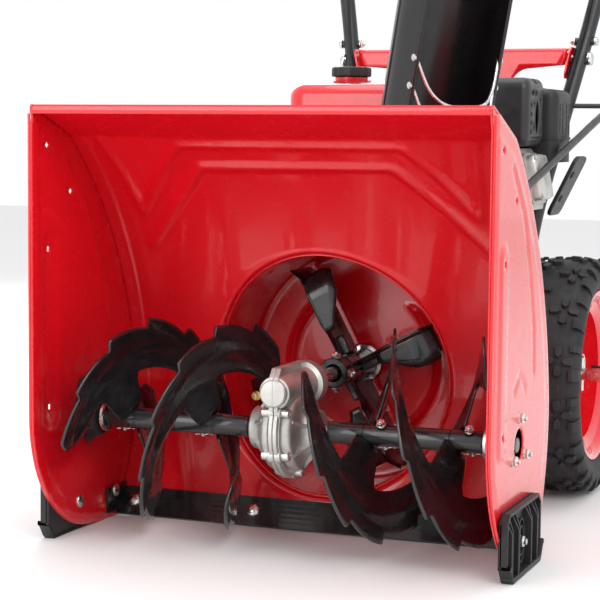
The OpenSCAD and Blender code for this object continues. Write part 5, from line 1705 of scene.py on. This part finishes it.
def handlebars():
    up_to = (BAR_LOW - BAR_BEND).normalized() * 60
    on_to = (BAR_JOINT - BAR_BEND).normalized() * 60
    low = [BAR_LOW] + [BAR_BEND + up_to * (1 - t) ** 2 + on_to * t * t for t in [k / 12 for k in range(13)]]
    low += [BAR_JOINT]
    lower = Build().tube(low, BAR_R, 32)
    for p in (BAR_JOINT - on_to.normalized() * 46, BAR_JOINT - on_to.normalized() * 12):
        lower.turned(p - Vector((16, 0, 0)), (1, 0, 0), [(0, 5), (1, 6.5), (31, 6.5), (32, 5)], 20)
    lower.mirrored()
    worm, top = Vector((217, 452, 456)), Vector((281, 1250, 690))
    d = (top - worm).normalized()
    eye = worm + d * 473
    lower.turned(eye - d * 6, d, [(0, 6.6), (0, 10), (1, 11), (11, 11), (12, 10), (12, 6.6)], 28,
                 closed_profile=True)
    lower.tube([Vector((190, 894, eye.z)), Vector((216, 899, eye.z)), eye - Vector((10, 0, 0))], 4, 12)
    lower.make("handlebars_lower", SATIN, "frame", ["lower_handlebars"], sharp=50)
    high = smooth_path([BAR_JOINT, BAR_KNEE, BAR_TURN, BAR_LEVEL], 12)[:-1]
    high += [BAR_LEVEL, BAR_LEVEL + GRIP_DIR * 40, BAR_LEVEL + GRIP_DIR * GRIP_RUN]
    upper = Build().tube(high, BAR_R, 32)
    px, py, pz = LEVER_PIVOT
    for x in (-12, 6):
        slab(upper, [(py - 12, pz - 24), (py + 12, pz - 24), (py + 12, pz + 1), (py + 7, pz + 8),
                     (py - 7, pz + 8), (py - 12, pz + 1)], px + x, px + x + 6)
    upper.box((px - 13, py - 12, pz - 24), (px + 13, py + 12, pz - 14))
    upper.mirrored()
    upper.make("handlebars_upper", SATIN, "frame", ["upper_handlebars"], sharp=50)
    g = Build()
    prof = [(54, 12.6), (54, 18.6), (57, 19.4), (60, 18.2), (63, 16.4)]
    length = GRIP_RUN + GRIP_R
    k = 66
    while k < length - 26:
        prof += [(k, 16.6), (k + 1.4, 15.5), (k + 4.2, 15.5), (k + 5.6, 16.6)]
        k += 8
    prof += [(length - 18, 16.8), (length - 14, 17.0)]
    prof += [(length - 17 + 16.9 * math.sin(a), 16.9 * math.cos(a))
             for a in [math.pi / 2 * i / 8 for i in range(1, 8)]]
    g.turned(BAR_LEVEL, GRIP_DIR, prof, 40)
    g.mirrored()
    g.make("handle_grips", RUBBER, "frame", ["grips"], sharp=40)
    s = Build()
    for p in (BAR_JOINT - on_to.normalized() * 46, BAR_JOINT - on_to.normalized() * 12):
        bolt(s, p + Vector((16, 0, 0)), (1, 0, 0), "dome", 4, 7.5, 5.5, True)
        bolt(s, p - Vector((16, 0, 0)), (-1, 0, 0), "hex", 4, 7, 4.6, True, 2)
    s.mirrored()
    s.make("handlebar_bolts", ZINC, "frame", ["upper_handlebars"], sharp=32)


def cross_bracket():
    """Red plate between the handlebars that carries the gear and chute controls."""
    right = [(176, 655), (150, 653), (118, 650)] + arc2((118, 618), 32, 90, 180, 5) + [(86, 600), (86, 566)]
    right += arc2((80, 566), 6, 0, -90, 3)
    left = [(-x, z) for x, z in reversed(right)]
    outline = joined(right, left, [(-176, 655)], [(-180, 679)], line2((-178, 682), (178, 682), 12),
                     [(180, 679)])
    holes = [arc2((x, 580), 5, 0, 345, 2) for x in (-60, 60)]
    points, faces = plate_mesh(outline, holes, 9)
    b = Build()
    b.add([(x, 900, z) for x, z in points], faces)
    b.make("cross_plate", RED, "frame", ["cross_bracket"], recalc=False, solid=-3, sharp=35)
    f = Build()
    f.grid([[(x, y, z) for x in [-181 + 362 * k / 24 for k in range(25)]]
            for y, z in ((900.5, 679.2), (901.4, 681), (903, 681.9), (920, 681.9), (925.6, 681.9))])
    f.make("cross_flange", RED, "frame", ["cross_bracket"], recalc=False, solid=2, sharp=35)
    e = Build()
    cheek = [(890, 640), (898, 632), (930, 632), (938, 640), (938, 676), (930, 684), (898, 684), (890, 676)]
    for side in (-1, 1):
        tilted = Build()
        slab(tilted, [(y, z - 682) for y, z in cheek], side * -3, 0, 0.6)
        tilted.moved(Matrix.Translation((side * 187.2, 0, 682)) @ Matrix.Rotation(math.radians(side * 11.56),
                                                                                  4, "Y"))
        e.add(tilted.v, tilted.f)
    e.make("cross_cheeks", RED, "frame", ["cross_bracket"], sharp=32)
    s = Build()
    for side in (-1, 1):
        s.turned((side * 178, 916, 668), (side, 0, 0), [(0, 5), (34, 5)], 20)
        bolt(s, (side * 210.4, 916, 668), (side, 0, 0), "dome", 5, 8.5, 7.5, True)
        bolt(s, (side * 180, 916, 668), (-side, 0, 0), "hex", 5, 7.5, 5, True, 1)
    for x in (-60, 60):
        s.turned((x, 899.6, 580), (0, -1, 0), [(0, 5.4), (0, 8.4), (0.8, 8.4), (0.8, 5.4)], 28,
                 closed_profile=True)
    s.make("cross_bolts", ZINC, "frame", ["cross_bracket"], sharp=32)


def control_panel():
    b = Build()
    rings = []
    for z, inset in ((2, 0), (14, 0), (18, 1.4), (20.6, 3.6), (21.8, 7)):
        rings.append([(x, y, z) for x, y in rounded_rect(-222 + inset, 222 - inset, inset, 150 - inset,
                                                         max(4, 26 - inset))])
    b.grid(rings, closed=True)
    b.moved(PANEL)
    b.make("panel_rim", PLASTIC, "frame", ["control_panel"], recalc=False, solid=2.6, sharp=45)
    top = Build()
    slot = rounded_rect(-8, 8, 24, 102, 7.6)
    pocket = rounded_rect(-205, -60, 16, 134, 14)
    points, faces = plate_mesh(rounded_rect(-215, 215, 7, 143, 19), [slot], 9)
    verts = []
    for x, y in points:
        edge = min(to_line((x, y), pocket + pocket[:1]), to_line((-x, y), pocket + pocket[:1]))
        dish = inside((x, y), pocket) or inside((-x, y), pocket)
        verts.append((x, y, 21.8 - (3.0 * soft_step(edge / 7) if dish else 0)))
    top.add(verts, faces)
    top.moved(PANEL)
    top.make("panel_face", PLASTIC, "frame", ["control_panel"], recalc=False, solid=2.6, sharp=45)
    t = Build()
    for k in range(7):
        y = 30 + 11 * k
        t.loft([[(x, y - 1.2, z), (x, y + 1.2, z)] + [(x + 9 - 3 * (k % 2), y + 1.2, z),
                                                      (x + 9 - 3 * (k % 2), y - 1.2, z)]
                for x, z in ((12, 21.6), (12, 22.4))])
    t.moved(PANEL)
    t.make("panel_ticks", ZINC, "frame", ["control_panel"])
    s = Build()
    for side in (-1, 1):
        s.add([PANEL @ Vector(p) for p in ((side * 219, 20, 2), (side * 246, 20, 2), (side * 246, 50, 2),
                                           (side * 219, 50, 2), (side * 219, 20, 12), (side * 246, 20, 12),
                                           (side * 246, 50, 12), (side * 219, 50, 12))],
              [(0, 3, 2, 1), (4, 5, 6, 7), (0, 1, 5, 4), (1, 2, 6, 5), (2, 3, 7, 6), (3, 0, 4, 7)])
    pivot = Matrix.Translation((0, 1090, 900)) @ Matrix.Rotation(math.radians(35.9), 4, "X")
    for side in (-1, 1):
        cheek = Build()
        slab(cheek, [(-12, -4), (-8, -8), (8, -8), (12, -4), (12, 70), (-12, 70)], side * 8.2, side * 12, 0.5)
        cheek.moved(pivot)
        s.add(cheek.v, cheek.f)
    s.make("panel_brackets", SATIN, "frame", ["control_panel"], bevel=0.8, sharp=32)
    v = Build()
    v.turned((0, 0, 0), (0, 0, 1), [(0, 4), (108, 4), (112, 5), (116, 8)], 20)
    v.turned((-14, 0, 0), (1, 0, 0), [(0, 4.4), (0.6, 5), (27.4, 5), (28, 4.4)], 20)
    v.moved(pivot)
    v.make("speed_rod", SATIN, "speed_lever", ["speed_lever"])
    k = Build()
    k.turned((0, 0, 138), (0, 0, 1), [(-24, 6.4), (-20, 7.6), (-14, 9.4), (-9, 12), (-3, 13.8), (3, 13.9),
                                      (8, 12.2),
                                      (12, 8.4), (13.8, 3.6), (14, 0.2)], 36)
    k.moved(pivot)
    k.make("speed_knob", PLASTIC, "speed_lever", ["speed_lever"])


def clutch_levers():
    for side, body in ((1, "drive_lever"), (-1, "auger_lever")):
        b = Build()
        tilt = Matrix.Translation(LEVER_PIVOT) @ Matrix.Rotation(math.radians(4), 4, "X")
        rings = []
        for y, w, lo, hi in ((-14, 3.4, -9, 4), (-6, 4.4, -8.6, 4.6), (6, 4.6, -4, 5), (30, 6, -3, 5.4),
                             (58, 8.6, -2.6, 5.4), (110, 9, -2.2, 4.6), (158, 8.8, -2, 4.2),
                             (166, 7, -1.6, 3.6),
                             (168.4, 4, -0.6, 2.6)):
            ring = []
            for i in range(20):
                a = 2 * math.pi * i / 20
                mid, half = (hi + lo) / 2, (hi - lo) / 2
                ring.append((w * math.copysign(abs(math.cos(a)) ** 0.6, math.cos(a)), y,
                             mid + half * math.copysign(abs(math.sin(a)) ** 0.6, math.sin(a))))
            rings.append(ring)
        b.loft(rings)
        b.turned((-4.8, 0, 0), (1, 0, 0), [(0, 7), (0.8, 8), (8.8, 8), (9.6, 7)], 28)
        b.moved(tilt)
        if side < 0:
            b.v = [Vector((-p.x, p.y, p.z)) for p in b.v]
        b.make(body + "_blade", PLASTIC, body, [body], sharp=50)
        p = Build().turned((side * LEVER_PIVOT.x - 14.5, LEVER_PIVOT.y, LEVER_PIVOT.z), (1, 0, 0),
                           [(0, 2.0), (0.8, 2.9), (28.2, 2.9), (29, 2.0)], 18)
        p.make(body + "_pin", ZINC, body, [body])


def cables():
    clutch = [BAR_LEVEL + Vector((-17, -30, 8)), BAR_TURN + Vector((-16, 0, -2)), BAR_KNEE +
              Vector((-15, -9, 9)),
              BAR_JOINT + Vector((-4, -17, 0)), BAR_BEND + Vector((-6, -18, 4)), Vector((118, 796, 345)),
              Vector((112, 780, 335)), Vector((110, 700, 334.2)), Vector((110, 600, 334.2)),
              Vector((108, 534, 337))]
    selector = [(20, 1094, 888), (34, 1010, 800), (42, 926, 735), (42, 888, 690), (42, 880, 640),
                (42, 868, 540),
                (36, 848, 450), (20, 822, 350), (0, 800, 304), (0, 794.5, 282)]
    b = Build()
    b.tube(smooth_path(clutch, 10), 2.9, 12)
    b.tube(smooth_path([Vector((-p.x, p.y, p.z)) for p in clutch], 10), 2.9, 12)
    b.tube(smooth_path(selector, 10), 3.3, 12)
    b.make("control_cables", RUBBER, "frame", ["cables"])
    lead = smooth_path([(72, 685, 512), (112, 684, 500), (150, 682, 484), (184, 674, 474), (188, 660, 474)],
                       12)
    s = Build().tube(lead, 3.5, 14)
    s.turned((188, 671, 474), (0, -1, 0), [(0, 3.4), (2, 6), (14, 7), (17, 8.4), (18.5, 8.4)], 24)
    s.make("spark_lead", RUBBER, "frame", ["cables"])


chute()
deflector()
chute_crank()
handlebars()
cross_bracket()
control_panel()
clutch_levers()
cables()

# ---------------------------------------------------------------- floor, light and camera
def floor():
    me = bpy.data.meshes.new("floor")
    size = 9.0
    me.from_pydata([(-size, -size, 0), (size, -size, 0), (size, size, 0), (-size, size, 0)], [],
                   [(0, 1, 2, 3)])
    o = bpy.data.objects.new("floor", me)
    bpy.context.scene.collection.objects.link(o)
    m = new_material("pale_floor", (0.82, 0.82, 0.82), 0.8, specular=0.2)
    me.materials.append(m)


def area_light(name, place_m, target, size, power, color=(1, 1, 1)):
    data = bpy.data.lights.new(name, "AREA")
    data.shape = "RECTANGLE"
    data.size, data.size_y = size
    data.energy = power
    data.color = color
    o = bpy.data.objects.new(name, data)
    bpy.context.scene.collection.objects.link(o)
    o.location = place_m
    o.rotation_euler = (Vector(target) - Vector(place_m)).to_track_quat("-Z", "Y").to_euler()


def camera():
    """Fitted view: stands in front of the housing, a little to its left and above."""
    eye = place(857.8, -2025.8, 537.1)
    yaw, pitch, roll = math.radians(-21.32), math.radians(5.19), math.radians(0.5)
    fw = Vector((math.sin(yaw) * math.cos(pitch), math.cos(yaw) * math.cos(pitch), -math.sin(pitch)))
    rt = Vector((math.cos(yaw), -math.sin(yaw), 0))
    up = rt.cross(fw)
    right = rt * math.cos(roll) + up * math.sin(roll)
    above = -rt * math.sin(roll) + up * math.cos(roll)
    data = bpy.data.cameras.new("camera")
    data.sensor_width = 36
    data.lens = 108.67
    o = bpy.data.objects.new("camera", data)
    bpy.context.scene.collection.objects.link(o)
    o.matrix_world = Matrix.Translation(eye) @ Matrix((right, above, -fw)).transposed().to_4x4()
    bpy.context.scene.camera = o


def world():
    w = bpy.data.worlds.new("studio")
    bpy.context.scene.world = w
    w.use_nodes = True
    bg = w.node_tree.nodes["Background"]
    bg.inputs["Color"].default_value = (1, 1, 1, 1)
    bg.inputs["Strength"].default_value = 1.0
    bpy.context.scene.view_settings.view_transform = "Standard"


floor()
world()
area_light("key", (1.9, -2.6, 2.4), (0, -0.5, 0.3), (1.6, 1.6), 42)
area_light("front", (-1.2, -3.2, 1.3), (0, -0.6, 0.3), (1.4, 2.2), 26)
area_light("top", (0.0, -0.2, 3.2), (0, -0.3, 0.3), (2.4, 2.4), 36)
area_light("back", (-1.6, 2.6, 2.0), (0, 0.2, 0.5), (1.6, 1.6), 34)
camera()
